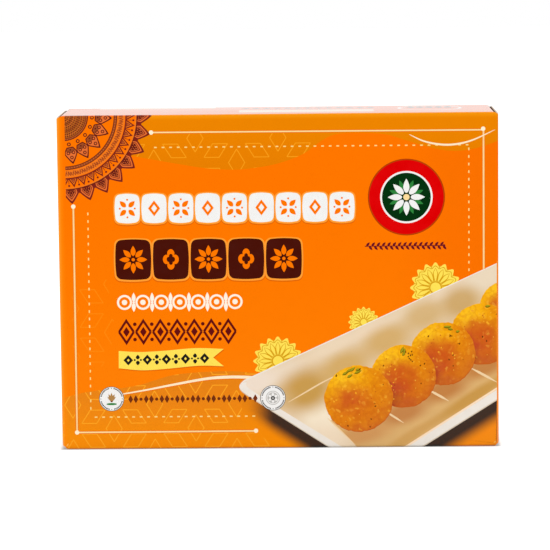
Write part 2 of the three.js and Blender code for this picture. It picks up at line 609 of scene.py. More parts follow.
def rosette(art, cx, cz, r, petals=16, turn=0.0):
    """A yellow flower of long petals inside a scalloped edge."""

    def scallop(key, mean, deep):
        n = petals * 10
        pts = []
        for i in range(n):
            a = 2 * math.pi * i / n
            pts.append(rot2((r * (mean + deep * math.cos(petals * a)), 0), a + turn, cx, cz))
        art.poly(key, pts)

    scallop("yellow", 0.925, 0.085)
    scallop("yellow_line", 0.835, 0.05)
    scallop("yellow", 0.80, 0.05)
    for k in range(petals):
        b = 2 * math.pi * k / petals + turn
        mid = b + math.pi / petals
        art.stroke("yellow_line", [rot2((0.80 * r, 0), mid, cx, cz), rot2((0.90 * r, 0), mid, cx, cz)], 0.035 * r)
        art.poly("yellow_line", drop(cx, cz, b, 0.17 * r, 0.795 * r, 0.104 * r, 10, 0.66, 0.16))
        art.poly("yellow", drop(cx, cz, b, 0.25 * r, 0.765 * r, 0.07 * r, 10, 0.66, 0.12))
    art.disc("yellow_line", cx, cz, 0.245 * r, 28)
    art.disc("yellow", cx, cz, 0.205 * r, 28)


def lattice(art, key, x0, z0, i0, i1, j0, j1, pen=0.5):
    """Rhombi on the links of a staggered grid, as fine outlines."""
    dx, dz = 23.45, 13.9
    hw, hh = 4.6, 7.7
    top, high, slant = 8.5, 7.7, 4.9
    for j in range(j0, j1 + 1):
        for i in range(i0, i1 + 1):
            if (i + j) % 2:
                continue
            x, z = x0 + dx * i, z0 + dz * j
            m = z + dz
            up = [(x, m - hh), (x + hw, m), (x, m + hh), (x - hw, m)]
            art.stroke(key, up, pen, closed=True)
            for side in (-1, 1):
                cx, cz = x + side * dx / 2, z + dz / 2
                quad = [
                    (cx + side * (top / 2 + slant / 2), cz + high / 2),
                    (cx - side * (top / 2 - slant / 2), cz + high / 2),
                    (cx - side * (top / 2 + slant / 2), cz - high / 2),
                    (cx + side * (top / 2 - slant / 2), cz - high / 2),
                ]
                art.stroke(key, quad, pen, closed=True)


def rounded_tile(x0, z0, x1, z1, r, bulge=0.0, n=5):
    """A tile with rounded corners and slightly swollen sides."""
    pts = []
    cx, cz = (x0 + x1) / 2, (z0 + z1) / 2
    hx, hz = (x1 - x0) / 2, (z1 - z0) / 2
    for qx, qz, a0 in ((1, -1, -90), (1, 1, 0), (-1, 1, 90), (-1, -1, 180)):
        for i in range(n + 1):
            a = math.radians(a0 + 90 * i / n)
            pts.append(
                (
                    cx + qx * (hx - r) + r * math.cos(a),
                    cz + qz * (hz - r) + r * math.sin(a),
                )
            )
    if bulge:
        out = []
        for i, p in enumerate(pts):
            q = pts[(i + 1) % len(pts)]
            out.append(p)
            d = math.hypot(q[0] - p[0], q[1] - p[1])
            if d > 2 * r:
                mx, mz = (p[0] + q[0]) / 2, (p[1] + q[1]) / 2
                nx, nz = (q[1] - p[1]) / d, -(q[0] - p[0]) / d
                for t, w in ((0.2, 0.64), (0.4, 0.96), (0.6, 0.96), (0.8, 0.64)):
                    out.append(
                        (
                            p[0] + (q[0] - p[0]) * t + nx * bulge * w,
                            p[1] + (q[1] - p[1]) * t + nz * bulge * w,
                        )
                    )
                del mx, mz
        pts = out
    return pts


def quatrefoil(cx, cz, hx, hz, n=12, turn=0.0):
    """Four round lobes about a centre."""
    pts = []
    for i in range(4 * n):
        a = 2 * math.pi * i / (4 * n)
        r = 0.62 + 0.38 * abs(math.cos(2 * (a + turn))) ** 0.75
        pts.append((cx + hx * r * math.cos(a), cz + hz * r * math.sin(a)))
    return pts


def ornament_row(art, tiles, z0, z1, ink_key, ground, halo=0.85, kinds="abab", corner=2.6):
    """A row of ornamental tiles, each with a cut-out flower or lozenge, a light halo and a soft shade.
    Kinds: a four petals, b a lozenge flower, c eight petals, d a quatrefoil, e a lozenge."""
    for n, (x0, x1) in enumerate(tiles):
        kind = kinds[n % len(kinds)]
        cx, cz = (x0 + x1) / 2, (z0 + z1) / 2
        w, h = (x1 - x0) / 2, (z1 - z0) / 2

        def outline(grow, drop_by=0.0, kind=kind, cx=cx, cz=cz, w=w, h=h):
            if kind == "b":  # a lozenge flower: four leaves round a diamond
                pts = []
                m = 40
                for i in range(m):
                    a = 2 * math.pi * i / m
                    c, s = math.cos(a), math.sin(a)
                    p = 1.0 / (abs(c) ** 1.25 + abs(s) ** 1.25) ** (1 / 1.25)
                    p *= 1.0 + 0.17 * math.cos(4 * a + math.pi) ** 2
                    pts.append((cx + (w * 1.02) * p * c, cz + h * 1.02 * p * s))
                if grow or drop_by:
                    pts = [
                        (
                            cx + (p[0] - cx) * (1 + grow / w),
                            cz + (p[1] - cz) * (1 + grow / h) - drop_by,
                        )
                        for p in pts
                    ]
                return pts
            pts = rounded_tile(cx - w, cz - h, cx + w, cz + h, min(corner, w * 0.8), 0.35)
            return [
                (
                    cx + (p[0] - cx) * (1 + grow / w),
                    cz + (p[1] - cz) * (1 + grow / h) - drop_by,
                )
                for p in pts
            ]

        if halo:
            art.poly("title_shade", outline(halo * 1.15, halo * 0.85))
            art.poly("halo", outline(halo, 0.15))
        art.poly(ink_key, outline(0.0))
        if kind == "a":
            # four petals cut out, with a dot between each pair
            r = min(w, h)
            for k in range(4):
                a = QUARTER * k + QUARTER / 2
                art.poly(ground, leaf(*rot2((0.16 * r, 0), a, cx, cz), a, 0.72 * r, 0.2 * r, 8, 0.8))
            for k in range(4):
                a = QUARTER * k
                reach = 0.62 * (w if k % 2 == 0 else h)
                art.disc(ground, *rot2((reach, 0), a, cx, cz), 0.085 * r, 12)
        elif kind in "be":
            art.poly(ground, [(cx + 0.5 * w, cz), (cx, cz + 0.56 * h), (cx - 0.5 * w, cz), (cx, cz - 0.56 * h)])
            art.poly(ink_key, [(cx + 0.24 * w, cz), (cx, cz + 0.28 * h), (cx - 0.24 * w, cz), (cx, cz - 0.28 * h)])
        elif kind == "c":
            # eight petals cut out round a dot
            r = min(w, h) * 0.98
            for k in range(8):
                a = math.pi / 4 * k
                art.poly(ground, leaf(*rot2((0.2 * r, 0), a, cx, cz), a, 0.62 * r, 0.15 * r, 8, 0.8))
            art.disc(ground, cx, cz, 0.1 * r, 14)
        elif kind == "d":
            art.poly(ground, quatrefoil(cx, cz, 0.46 * w, 0.52 * h))
            art.poly(ink_key, quatrefoil(cx, cz, 0.24 * w, 0.28 * h))


def vine(art, key, x0, x1, z, amp, wave, pen, leaf_len, leaf_half, dots=True):
    """A waving stem with a leaf at each crest and a berry in each hollow."""
    n = int((x1 - x0) / 0.9)
    pts = []
    for i in range(n + 1):
        x = x0 + (x1 - x0) * i / n
        pts.append((x, z + amp * math.sin(2 * math.pi * (x - x0) / wave)))
    art.stroke(key, pts, pen)
    half = wave / 2
    k = 0
    x = x0 + wave / 4
    while x < x1:
        s = 1 if k % 2 == 0 else -1
        zz = z + s * amp
        base = (x, zz)
        for lean in (-0.85, 0.85):
            a = s * QUARTER + lean * s
            art.poly(key, leaf(*base, a, leaf_len, leaf_half, 7, 0.75))
        if dots:
            art.disc(key, x, z - s * amp * 1.15, pen * 0.95, 12)
        x += half
        k += 1


# ---------------------------------------------------------------- the pictured sweets, as shaded fields

LADOOS = [  # centre and radius on the panel, back to front
    (130.3, 79.7, 16.3),
    (115.7, 65.1, 18.0),
    (93.2, 53.9, 18.5),
    (70.7, 41.1, 18.5),
    (45.0, 28.4, 19.6),
]
PLATE_SHADES = [  # soft tan shades on the plate's walls: x, z, rx, rz, tilt, strength, colour
    (58.0, 57.0, 78.0, 11.0, 25, 0.4, (212, 176, 120)),
    (15.0, 33.2, 18.5, 14.5, 20, 1.0, (198, 154, 78)),
    (4.0, 28.0, 8.0, 6.0, 30, 0.35, (210, 176, 120)),
    (37.0, 47.0, 17.5, 9.5, 24, 0.85, (208, 166, 92)),
    (60.8, 61.9, 16.5, 9.5, 24, 0.8, (208, 166, 94)),
    (82.5, 76.4, 15.0, 9.0, 24, 0.75, (208, 170, 106)),
    (103.5, 83.5, 13.5, 10.5, 24, 0.85, (200, 160, 94)),
    (122.0, 80.0, 10.0, 9.0, 24, 0.5, (212, 182, 130)),
]
PLATE_LIGHTS = [
    (-13.0, 38.0, 14.0, 8.0, 24, 0.8, (238, 224, 210)),
    (2.0, 43.0, 16.0, 7.0, 24, 0.6, (236, 220, 200)),
    (23.5, 17.5, 17.0, 12.5, -42, 1.0, (244, 230, 204)),
    (28.0, 3.0, 16.0, 12.0, -42, 0.8, (238, 218, 190)),
    (118.0, 97.0, 22.0, 9.0, 24, 0.7, (233, 217, 192)),
    (30.0, 58.5, 20.0, 5.0, 24, 0.6, (236, 216, 188)),
    (52.0, 68.0, 20.0, 5.0, 24, 0.6, (236, 214, 186)),
    (94.0, 88.5, 16.0, 4.5, 24, 0.6, (234, 212, 184)),
]
FLOOR_SHADES = [
    (70.5, 20.0, 17.0, 7.5, 20, 0.85, (190, 122, 66)),
    (93.5, 33.0, 17.0, 7.5, 20, 0.9, (190, 122, 62)),
    (116.0, 46.0, 17.0, 7.0, 20, 0.9, (192, 124, 62)),
    (47.0, 7.5, 19.0, 6.5, 12, 0.7, (202, 140, 82)),
    (110.0, 28.5, 30.0, 4.2, 32.4, 0.85, (196, 146, 66)),
    (74.0, 6.0, 26.0, 3.6, 32.4, 0.6, (202, 152, 78)),
]


def blob_mask(nt, coords, cx, cz, rx, rz, tilt, x, y):
    """1 at the centre of an ellipse on the front panel, falling to 0 at its edge."""
    mp = node(nt, "ShaderNodeMapping", x, y, vector_type="TEXTURE")
    mp.inputs["Location"].default_value = (cx * MM, -HALF_D * MM, cz * MM)
    mp.inputs["Rotation"].default_value = (0, -math.radians(tilt), 0)
    mp.inputs["Scale"].default_value = (rx * MM, 1.0, rz * MM)
    nt.links.new(coords, mp.inputs["Vector"])
    g = node(nt, "ShaderNodeTexGradient", x + 200, y, gradient_type="SPHERICAL")
    nt.links.new(mp.outputs["Vector"], g.inputs["Vector"])
    return g.outputs["Fac"]


def flat_coords(nt):
    """Coordinates on the printed face, the same on the front and, turned round, on the back panel."""
    tc = node(nt, "ShaderNodeTexCoord", -2600, 0)
    sep = node(nt, "ShaderNodeSeparateXYZ", -2450, 0)
    nt.links.new(tc.outputs["Object"], sep.inputs["Vector"])
    sign = node(nt, "ShaderNodeMath", -2300, 150, operation="SIGN")
    nt.links.new(sep.outputs["Y"], sign.inputs[0])
    flip = node(nt, "ShaderNodeMath", -2150, 100, operation="MULTIPLY")
    nt.links.new(sep.outputs["X"], flip.inputs[0])
    nt.links.new(sign.outputs[0], flip.inputs[1])
    neg = node(nt, "ShaderNodeMath", -2000, 100, operation="MULTIPLY")
    nt.links.new(flip.outputs[0], neg.inputs[0])
    neg.inputs[1].default_value = -1.0
    comb = node(nt, "ShaderNodeCombineXYZ", -1850, 0)
    nt.links.new(neg.outputs[0], comb.inputs["X"])
    comb.inputs["Y"].default_value = -HALF_D * MM
    nt.links.new(sep.outputs["Z"], comb.inputs["Z"])
    return comb.outputs["Vector"]


def split(nt, vector, x=-1500, y=400):
    sep = node(nt, "ShaderNodeSeparateXYZ", x, y)
    nt.links.new(vector, sep.inputs["Vector"])
    return sep.outputs["X"], sep.outputs["Z"]


def mottle(nt, co, colour, main, y=600):
    """Two close tones of a colour, mixed as the ink lies."""
    fac = map_range(nt, noise_fac(nt, co, 150.0, 4.0, 0.65, -1300, y), 0.3, 0.7, x=-1050, y=y)
    c = ink_rgb(colour, main)
    return mix_colour(nt, fac, [v * 0.97 for v in c], [min(0.95, v * 1.02) for v in c], x=-800, y=y)


def washes(nt, co, col, spots, main, grow=1.25, y=0):
    """Soft ellipses of colour laid over col, one after another."""
    for i, (cx, cz, rx, rz, tilt, k, tone) in enumerate(spots):
        f = blob_mask(nt, co, cx, cz, rx * grow, rz * grow, tilt, -1500, y - i * 220)
        f = map_range(nt, f, 0.0, 0.75, 0.0, k, x=-1000, y=y - i * 220, smooth=True)
        col = mix_colour(nt, f, col, ink_rgb(tone, main), x=-600 + i * 40, y=y - i * 220)
    return col


def plate_material(key, main, spots):
    m, nt, bsdf = base_material(key, main)
    co = flat_coords(nt)
    col = washes(nt, co, mottle(nt, co, main, main), spots, main)
    nt.links.new(col, bsdf.inputs["Base Color"])
    return m


LIT, MID, DEEP = (249, 190, 26), (224, 132, 17), (206, 107, 30)


def ladoo_material(key, cx, cz, r, front):
    """A ball of fried gram-flour pearls: lit from the upper left, redder where the next ball shades it."""
    main = (224, 132, 17)
    m, nt, bsdf = base_material(key, main)
    co = flat_coords(nt)

    def c(rgb):
        return ink_rgb(rgb, main)

    # lumpiness bends the shading, so that it doesn't look turned on a lathe
    lumps = node(nt, "ShaderNodeTexNoise", -2300, -500)
    lumps.inputs["Scale"].default_value = 190.0
    lumps.inputs["Detail"].default_value = 3.0
    nt.links.new(co, lumps.inputs["Vector"])
    shift = node(nt, "ShaderNodeVectorMath", -2100, -500, operation="MULTIPLY_ADD")
    nt.links.new(lumps.outputs["Color"], shift.inputs[0])
    shift.inputs[1].default_value = (0.006, 0.0, 0.006)
    nt.links.new(co, shift.inputs[2])
    back = node(nt, "ShaderNodeVectorMath", -1950, -500, operation="SUBTRACT")
    nt.links.new(shift.outputs[0], back.inputs[0])
    back.inputs[1].default_value = (0.003, 0.0, 0.003)
    bent = back.outputs[0]

    body = blob_mask(nt, bent, cx - 0.50 * r, cz + 0.62 * r, 1.95 * r, 1.95 * r, 0, -1700, 300)
    col = ramp(
        nt,
        body,
        [
            (0.0, c((200, 98, 34))),
            (0.16, c((208, 110, 30))),
            (0.36, c((222, 128, 18))),
            (0.56, c((233, 148, 14))),
            (0.74, c((246, 176, 18))),
            (1.0, c((252, 196, 34))),
        ],
        x=-1100,
        y=300,
        mode="LINEAR",
    )
    if front:
        red = [(-0.22, -0.10, 0.80, 0.62, 0, 0.75, (208, 96, 30)), (-0.24, -0.02, 0.36, 0.30, 0, 0.7, (200, 82, 32)), (0.1, -0.95, 0.9, 0.28, 0, 0.5, (206, 104, 36))]
    else:
        red = [
            (-0.22, -0.24, 0.76, 0.80, -25, 1.0, (200, 84, 32)),
            (-0.50, -0.52, 0.50, 0.62, -35, 1.0, (186, 66, 40)),
            (-0.05, -0.92, 0.8, 0.3, 0, 0.65, (190, 86, 42)),
            (-0.46, -0.78, 0.42, 0.40, 0, 0.9, (160, 58, 34)),
            (0.0, 0.05, 0.55, 0.45, 0, 0.6, (206, 90, 24)),
        ]
    for i, (dx, dz, rx, rz, tilt, k, tone) in enumerate(red):
        f = blob_mask(nt, bent, cx + dx * r, cz + dz * r, rx * r * 1.2, rz * r * 1.2, tilt, -1700, -i * 220)
        f = map_range(nt, f, 0.0, 0.7, 0.0, k, x=-1200, y=-i * 220, smooth=True)
        col = mix_colour(nt, f, col, c(tone), x=-800 + 40 * i, y=-i * 220)
    # pearls, some bright and some in shade
    vor = node(nt, "ShaderNodeTexVoronoi", -1700, -900, feature="F1")
    vor.inputs["Scale"].default_value = 480.0
    nt.links.new(bent, vor.inputs["Vector"])
    gap = map_range(nt, vor.outputs["Distance"], 0.42, 0.8, 0.0, 0.3, x=-1200, y=-900)
    col = mix_colour(nt, gap, col, c((188, 82, 16)), x=-600, y=-300)
    tone = node(nt, "ShaderNodeSeparateColor", -1500, -1150)
    nt.links.new(vor.outputs["Color"], tone.inputs["Color"])
    bright = map_range(nt, tone.outputs[0], 0.66, 1.0, 0.0, 0.42 if front else 0.34, x=-1200, y=-1150)
    near = map_range(nt, vor.outputs["Distance"], 0.2, 0.55, 1.0, 0.0, x=-1200, y=-1400)
    lit = node(nt, "ShaderNodeMath", -1000, -1250, operation="MULTIPLY")
    nt.links.new(bright, lit.inputs[0])
    nt.links.new(near, lit.inputs[1])
    col = mix_colour(nt, lit.outputs[0], col, c((254, 200, 70)), x=-400, y=-400)
    broad = map_range(nt, noise_fac(nt, co, 120.0, 3.0, 0.6, -1700, -1650), 0.45, 0.7, 0.0, 0.3 if front else 0.18, x=-1200, y=-1650)
    col = mix_colour(nt, broad, col, c((240, 158, 24)), x=-200, y=-500)
    nt.links.new(col, bsdf.inputs["Base Color"])
    return m


def field_material(key, stops, edges):
    """A printed field that changes with height and a little across, with a painted highlight that lightens it towards
    the folds.
    """
    main = stops[0][1]
    m, nt, bsdf = base_material(key, main)
    co = flat_coords(nt) if edges else object_coords(nt, -1900)
    x, z = split(nt, co)
    span = map_range(nt, z, 0.0, HIGH * MM, x=-1250, y=400)
    c = [(at_z / HIGH, ink_rgb(rgb, main)) for at_z, rgb in sorted(stops)]
    col = ramp(nt, span, c, x=-1000, y=400, mode="LINEAR")
    # each entry tones the field along x or z; the entries by the top crease and the left hinge are painted highlights
    for i, (axis, a, b, k, rgb) in enumerate(edges):
        f = map_range(nt, x if axis == "x" else z, a * MM, b * MM, 0.0, k, x=-1000, y=-i * 220, smooth=True)
        col = mix_colour(nt, f, col, ink_rgb(rgb, main), x=-600 + 60 * i, y=-i * 220)
    fac = map_range(nt, noise_fac(nt, co, 150.0, 4.0, 0.65, -1300, 700), 0.3, 0.7, 0.0, 0.055, x=-1050, y=700)
    col = mix_colour(nt, fac, col, [v * 0.6 for v in ink_rgb(main)], x=-100, y=100)
    nt.links.new(col, bsdf.inputs["Base Color"])
    return m


def shadow_material(key, p, q, side, reach, ground, dark, fade, full=0.34):
    """The plate's soft cast shade: darkest along the line p to q and fading to one side of it, over the field."""
    m, nt, bsdf = base_material(key, ground[0])
    main = ground[0]
    co = flat_coords(nt)
    x, z = split(nt, co)
    ang = math.atan2(q[1] - p[1], q[0] - p[0])
    nx, nz = -math.sin(ang) * side, math.cos(ang) * side  # away from the plate
    a = node(nt, "ShaderNodeMath", -1100, 100, operation="MULTIPLY")
    nt.links.new(x, a.inputs[0])
    a.inputs[1].default_value = nx
    b = node(nt, "ShaderNodeMath", -950, -100, operation="MULTIPLY_ADD")
    nt.links.new(z, b.inputs[0])
    b.inputs[1].default_value = nz
    nt.links.new(a.outputs[0], b.inputs[2])
    base = (p[0] * nx + p[1] * nz) * MM
    f = map_range(nt, b.outputs[0], base + full * reach * MM, base + reach * MM, 1.0, 0.0, x=-750, smooth=True)
    low = map_range(nt, z, 0.0, 44 * MM, x=-850, y=-300)
    col = mix_colour(nt, low, ink_rgb(ground[1], main), ink_rgb(ground[0], main), x=-500, y=-300)
    along = map_range(nt, x, fade[0] * MM, fade[1] * MM, fade[2], fade[3], x=-750, y=-500, smooth=True)
    mul = node(nt, "ShaderNodeMath", -500, 0, operation="MULTIPLY")
    nt.links.new(f, mul.inputs[0])
    nt.links.new(along, mul.inputs[1])
    nt.links.new(mix_colour(nt, mul.outputs[0], col, ink_rgb(dark, main), x=-200), bsdf.inputs["Base Color"])
    return m


ORANGE = [(150.0, (252, 117, 0)), (100.0, (251, 120, 1)), (70.0, (251, 123, 2)), (42.0, (252, 127, 6))]
OCHRE = [(182.0, (234, 131, 1)), (164.0, (229, 126, 2))]
LOW = [(42.0, (227, 129, 24)), (26.0, (234, 134, 22)), (8.0, (245, 142, 13))]
# painted highlight: the ochre field lightened over the last 3 mm below the top crease, where the crease catches the
# light
PAINTED_TOP_HIGHLIGHT = ("z", 188.0, 191.0, 0.9, (246, 150, 14))
# painted highlight: the front's fields lightened over the last 4 mm towards the left hinge, where the hinge catches
# the light
PAINTED_LEFT_HIGHLIGHT = [("x", -120.8, -123.4, 0.6, (252, 138, 12)), ("x", -122.8, -125.0, 0.9, (252, 156, 44))]


def special(key):
    """The printed fields that aren't one flat ink, some with painted highlights towards the folds."""
    if key in _materials:
        return _materials[key]
    if key == "orange":
        m = field_material(key, ORANGE, [])
    elif key == "orange_lid":
        # the top panel is seen almost edge on, where its heavier varnish outshines the ink; its ink is a darker copy
        # of the front's orange, painted shade
        m = field_material(key, [(at_z, tuple(0.93 * c for c in rgb)) for at_z, rgb in ORANGE], [])
        m.node_tree.nodes["Principled BSDF"].inputs["Specular IOR Level"].default_value = 0.8
    elif key == "orange_front":
        m = field_material(key, ORANGE, [("x", 60.0, 104.0, 0.85, (247, 111, 1)), *PAINTED_LEFT_HIGHLIGHT])
    elif key == "ochre":
        m = field_material(key, OCHRE, [])
    elif key == "ochre_front":
        m = field_material(key, OCHRE, [PAINTED_TOP_HIGHLIGHT, *PAINTED_LEFT_HIGHLIGHT])
    elif key == "field_low":
        m = field_material(key, LOW, [])
    elif key == "field_low_front":
        m = field_material(key, LOW, [("x", -40.0, 20.0, 0.6, (247, 142, 3)), *PAINTED_LEFT_HIGHLIGHT])
    elif key == "plate":
        m = plate_material(key, (229, 206, 173), PLATE_LIGHTS + PLATE_SHADES)
    elif key == "plate_floor":
        m = plate_material(key, (217, 174, 112), FLOOR_SHADES)
    elif key == "shade_left":
        m = shadow_material(
            key, (-22.2, 33.2), (27.4, 0.9), -1, 12.5, [(230, 131, 22), (247, 142, 6)], (60, 44, 35), (-20.0, -3.0, 0.1, 1.0)
        )
    elif key == "shade_right":
        m = shadow_material(
            key, (81.6, 0.7), (124.5, 27.7), -1, 13.5, [(240, 136, 36), (244, 140, 22)], (60, 47, 40), (108.0, 127.0, 1.0, 1.0)
        )
    elif key.startswith("ladoo_"):
        i = int(key[6:])
        cx, cz, r = LADOOS[i]
        m = ladoo_material(key, cx, cz, r, i == len(LADOOS) - 1)
    else:
        raise KeyError(key)
    _materials[key] = m
    return m


SPECIAL = {
    "orange", "orange_lid", "orange_front", "ochre", "ochre_front", "field_low", "field_low_front",
    "plate", "plate_floor", "shade_left", "shade_right",
} | {f"ladoo_{i}" for i in range(len(LADOOS))}


def material(key):
    if key in SPECIAL:
        return special(key)
    if key == "raw":
        return raw_board("raw_board", PALETTE["raw"])
    if key == "inside":
        return raw_board("inside_board", (150, 136, 116), 0.2)
    return ink(key)


# ---------------------------------------------------------------- the print of each panel


def grain(art, key, cx, cz, r, squash):
    """A small squashed dot, turned any way."""
    turn = rng.uniform(0, math.pi)
    art.poly(key, [rot2(p, turn, cx, cz) for p in circle(0, 0, r, 8, squash)])


def sweets_picture(art):
    """The plate and its row of ladoos, lower right, run off the panel's base and right edge."""
    # soft shade under the plate
    art.poly("shade_left", [(-21.6, 34.2), (28, 1.2), (34, -3.5), (2, -3.5), (-22, 16)])
    art.poly("shade_right", [(74, -3.5), (81.6, 0.7), (130, 31.2), (130, -3.5)])
    # the plate: rim, inside of the walls, floor
    tip = smooth([(130, 108.3), (60, 76.3), (-16.0, 41.6), (-20.4, 39.4), (-22.9, 36.8), (-22.8, 34.6), (-20.4, 32.2), (-16.0, 29.2)], 5)
    outer = tip + [(27.4, 0.9), (34.0, -3.5), (75.0, -3.5), (81.6, 0.7), (124.5, 27.7), (130, 31.2)]
    art.poly("plate_edge", [(x + 0.1, z - 0.7) for x, z in outer])
    art.poly("plate_rim", outer)
    inner_tip = smooth([(130, 107.7), (60, 75.7), (-14.0, 41.6), (-18.8, 38.2), (-18.4, 35.4), (-12.6, 31.2), (-4.0, 25.2)], 5)
    art.poly("plate", inner_tip + [(33.6, 1.3), (40.5, -3.5), (66.8, -3.5), (73.6, 0.8), (124.5, 33.1), (130, 36.6)])
    floor = [
        (130, 79.0), (92, 62.5), (57, 46.8), (40.0, 36.0), (31.0, 22.0), (29.0, 14.9), (42.7, 1.3), (47.0, -3.5),
        (66.8, -3.5), (73.6, 0.8), (124.5, 33.1), (130, 36.6),
    ]
    art.poly("plate_floor", floor)
    # the wall's foot, catching light, and glints on the glaze
    art.stroke("plate_glint", smooth([(4.6, 26.4), (14, 31.8), (24, 37.6), (34, 42.6)], 5), 0.9, taper=True)
    art.stroke("plate_glint", smooth([(27.0, 17.2), (33, 11.2), (42.9, 1.4)], 5), 0.8, taper=True)
    for a, b, w in (((59.8, 20.9), (70.6, 13.9), 1.2), ((84.4, 33.2), (96.4, 26.4), 1.5), ((108.6, 45.6), (124.0, 37.0), 1.5)):
        art.stroke("plate_glint", [a, ((a[0] * 2 + b[0]) / 3, (a[1] * 2 + b[1]) / 3 + 0.1), ((a[0] + b[0] * 2) / 3, (a[1] + b[1] * 2) / 3 + 0.1), b], w, taper=True)
    art.stroke("rim_warm", [(66.0, -3.6), (73.2, 1.0), (124.1, 33.6), (130, 37.2)], 1.1)

    # the sweets
    last = len(LADOOS) - 1
    for i, (cx, cz, r) in enumerate(LADOOS):
        pts = []
        n = 80
        wob = [rng.uniform(-1, 1) for _ in range(14)]
        for k in range(n):
            a = 2 * math.pi * k / n
            w = sum(wob[h] * math.cos((h + 3) * a + h * 1.7) for h in range(len(wob))) * 0.0042
            fine = 0.006 * math.sin(31 * a + i) + 0.005 * math.sin(47 * a + 2 * i)
            pts.append((cx + r * (1 + w + fine) * math.cos(a), cz + r * 0.97 * (1 + w + fine) * math.sin(a)))
        art.poly("grain_deep", [(x + 0.1, z - 0.4) for x, z in pts])
        art.poly(f"ladoo_{i}", pts)

        def spot(low=0.02, high=0.84, cx=cx, cz=cz, r=r):
            a, q = rng.uniform(0, 2 * math.pi), math.sqrt(rng.uniform(low, high))
            return cx + r * q * math.cos(a), cz + 0.95 * r * q * math.sin(a), a, q

        few = 0.35 if i == 0 else 1.0
        few *= 0.7
        # pearls that catch the light, most on the lit shoulder
        for _ in range(int(70 * few)):
            px, pz, a, q = spot()
            lit = (-(px - cx) + (pz - cz)) / r
            if lit < rng.uniform(-0.5, 0.9):
                continue
            size = rng.uniform(0.35, 0.8)
            grain(art, "grain_glow", px, pz, size, rng.uniform(0.45, 0.8))
        for _ in range(int(12 * few)):
            px, pz, a, q = spot(0.02, 0.8)
            if abs(px - cx + 0.22 * r) < 0.45 * r and abs(pz - cz) < 0.4 * r:
                continue
            grain(art, "grain_light", px, pz, rng.uniform(0.18, 0.36), rng.uniform(0.5, 0.9))
        for _ in range(int(26 * few)):
            px, pz, a, q = spot(0.02, 0.9)
            size = rng.uniform(0.2, 0.5)
            grain(art, "grain_deep", px, pz, size, rng.uniform(0.35, 0.7))
        for _ in range(int(4 * few)):
            px, pz, a, q = spot(0.02, 0.75)
            art.poly("fleck", leaf(px, pz, rng.uniform(0, 3), rng.uniform(0.6, 1.0), 0.28, 4))
    # slivers of pistachio on top
    slivers = {
        4: [(-9.2, 13.8, 0.5, 4.2), (-7.0, 15.4, 0.5, 4.2), (-4.8, 15.8, 0.7, 3.8), (-2.4, 14.6, 0.4, 4.4), (-6.4, 12.4, 0.5, 3.4), (-1.6, 16.6, 0.2, 2.8)],
        3: [(-1.6, 13.2, 1.15, 4.4), (0.2, 12.8, 1.35, 3.6), (-0.6, 12.0, 0.9, 2.6)],
        2: [(0.4, 15.4, 0.05, 4.4), (2.8, 14.6, -0.25, 3.0), (7.4, 12.6, 0.2, 2.2)],
        1: [(1.6, 15.9, 0.05, 3.0)],
    }
    for i, items in slivers.items():
        cx, cz, r = LADOOS[i]
        for dx, dz, a, ln in items:
            art.poly("pista_dark", leaf(cx + dx - 0.1, cz + dz - 0.3, a, ln * 1.05, 0.8, 6, 0.8))
            art.poly("pista", leaf(cx + dx, cz + dz, a, ln, 0.5, 6, 0.8))
    specks = {
        3: [(1.4, 13.4), (2.8, 12.4), (4.4, 13.6), (2.4, 10.8), (5.0, 11.6), (3.6, 9.6), (4.4, 8.8), (5.2, 8.0), (4.0, 11.2), (9.2, 5.6), (11.6, 6.4), (-11.6, 5.6), (9.8, -4.8)],
        2: [(4.4, 10.2), (3.8, 9.4), (5.0, 9.6), (-8.6, 9.4), (9.2, 5.0), (3.8, -4.0), (5.6, -1.6), (5.4, -7.4)],
        1: [(0.2, -2.4), (2.4, -4.8)],
        4: [(0.8, 16.6), (1.0, 16.2), (-13.2, 12.6), (-12.8, 12.9), (9.0, -5.0), (7.4, -12.4), (-6.0, -16.4), (6.6, -17.0)],
    }
    for i, items in specks.items():
        cx, cz, r = LADOOS[i]
        for dx, dz in items:
            art.poly("fleck", leaf(cx + dx, cz + dz, rng.uniform(0.4, 2.4), rng.uniform(0.9, 1.5), 0.42, 4))


def badge(art, cx, cz, r):
    """A generic round badge: red, with a white flower on dark green."""
    art.disc("red_rim", cx, cz, r * 1.035, 72)
    art.disc("red", cx, cz, r, 72)
    art.disc("white", cx, cz, 0.705 * r, 64)
    art.disc("green", cx, cz, 0.655 * r, 64)
    for k in range(8):
        a = math.pi / 4 * k
        b = a + math.pi / 8
        art.poly("leaf", leaf(*rot2((0.24 * r, 0), b, cx, cz), b, 0.25 * r, 0.05 * r, 7, 0.8))
        art.poly("white", leaf(*rot2((0.10 * r, 0), a, cx, cz), a, 0.40 * r, 0.082 * r, 9, 0.8))
    art.disc("green", cx, cz, 0.12 * r, 24)
    art.disc("cream", cx, cz, 0.085 * r, 24)


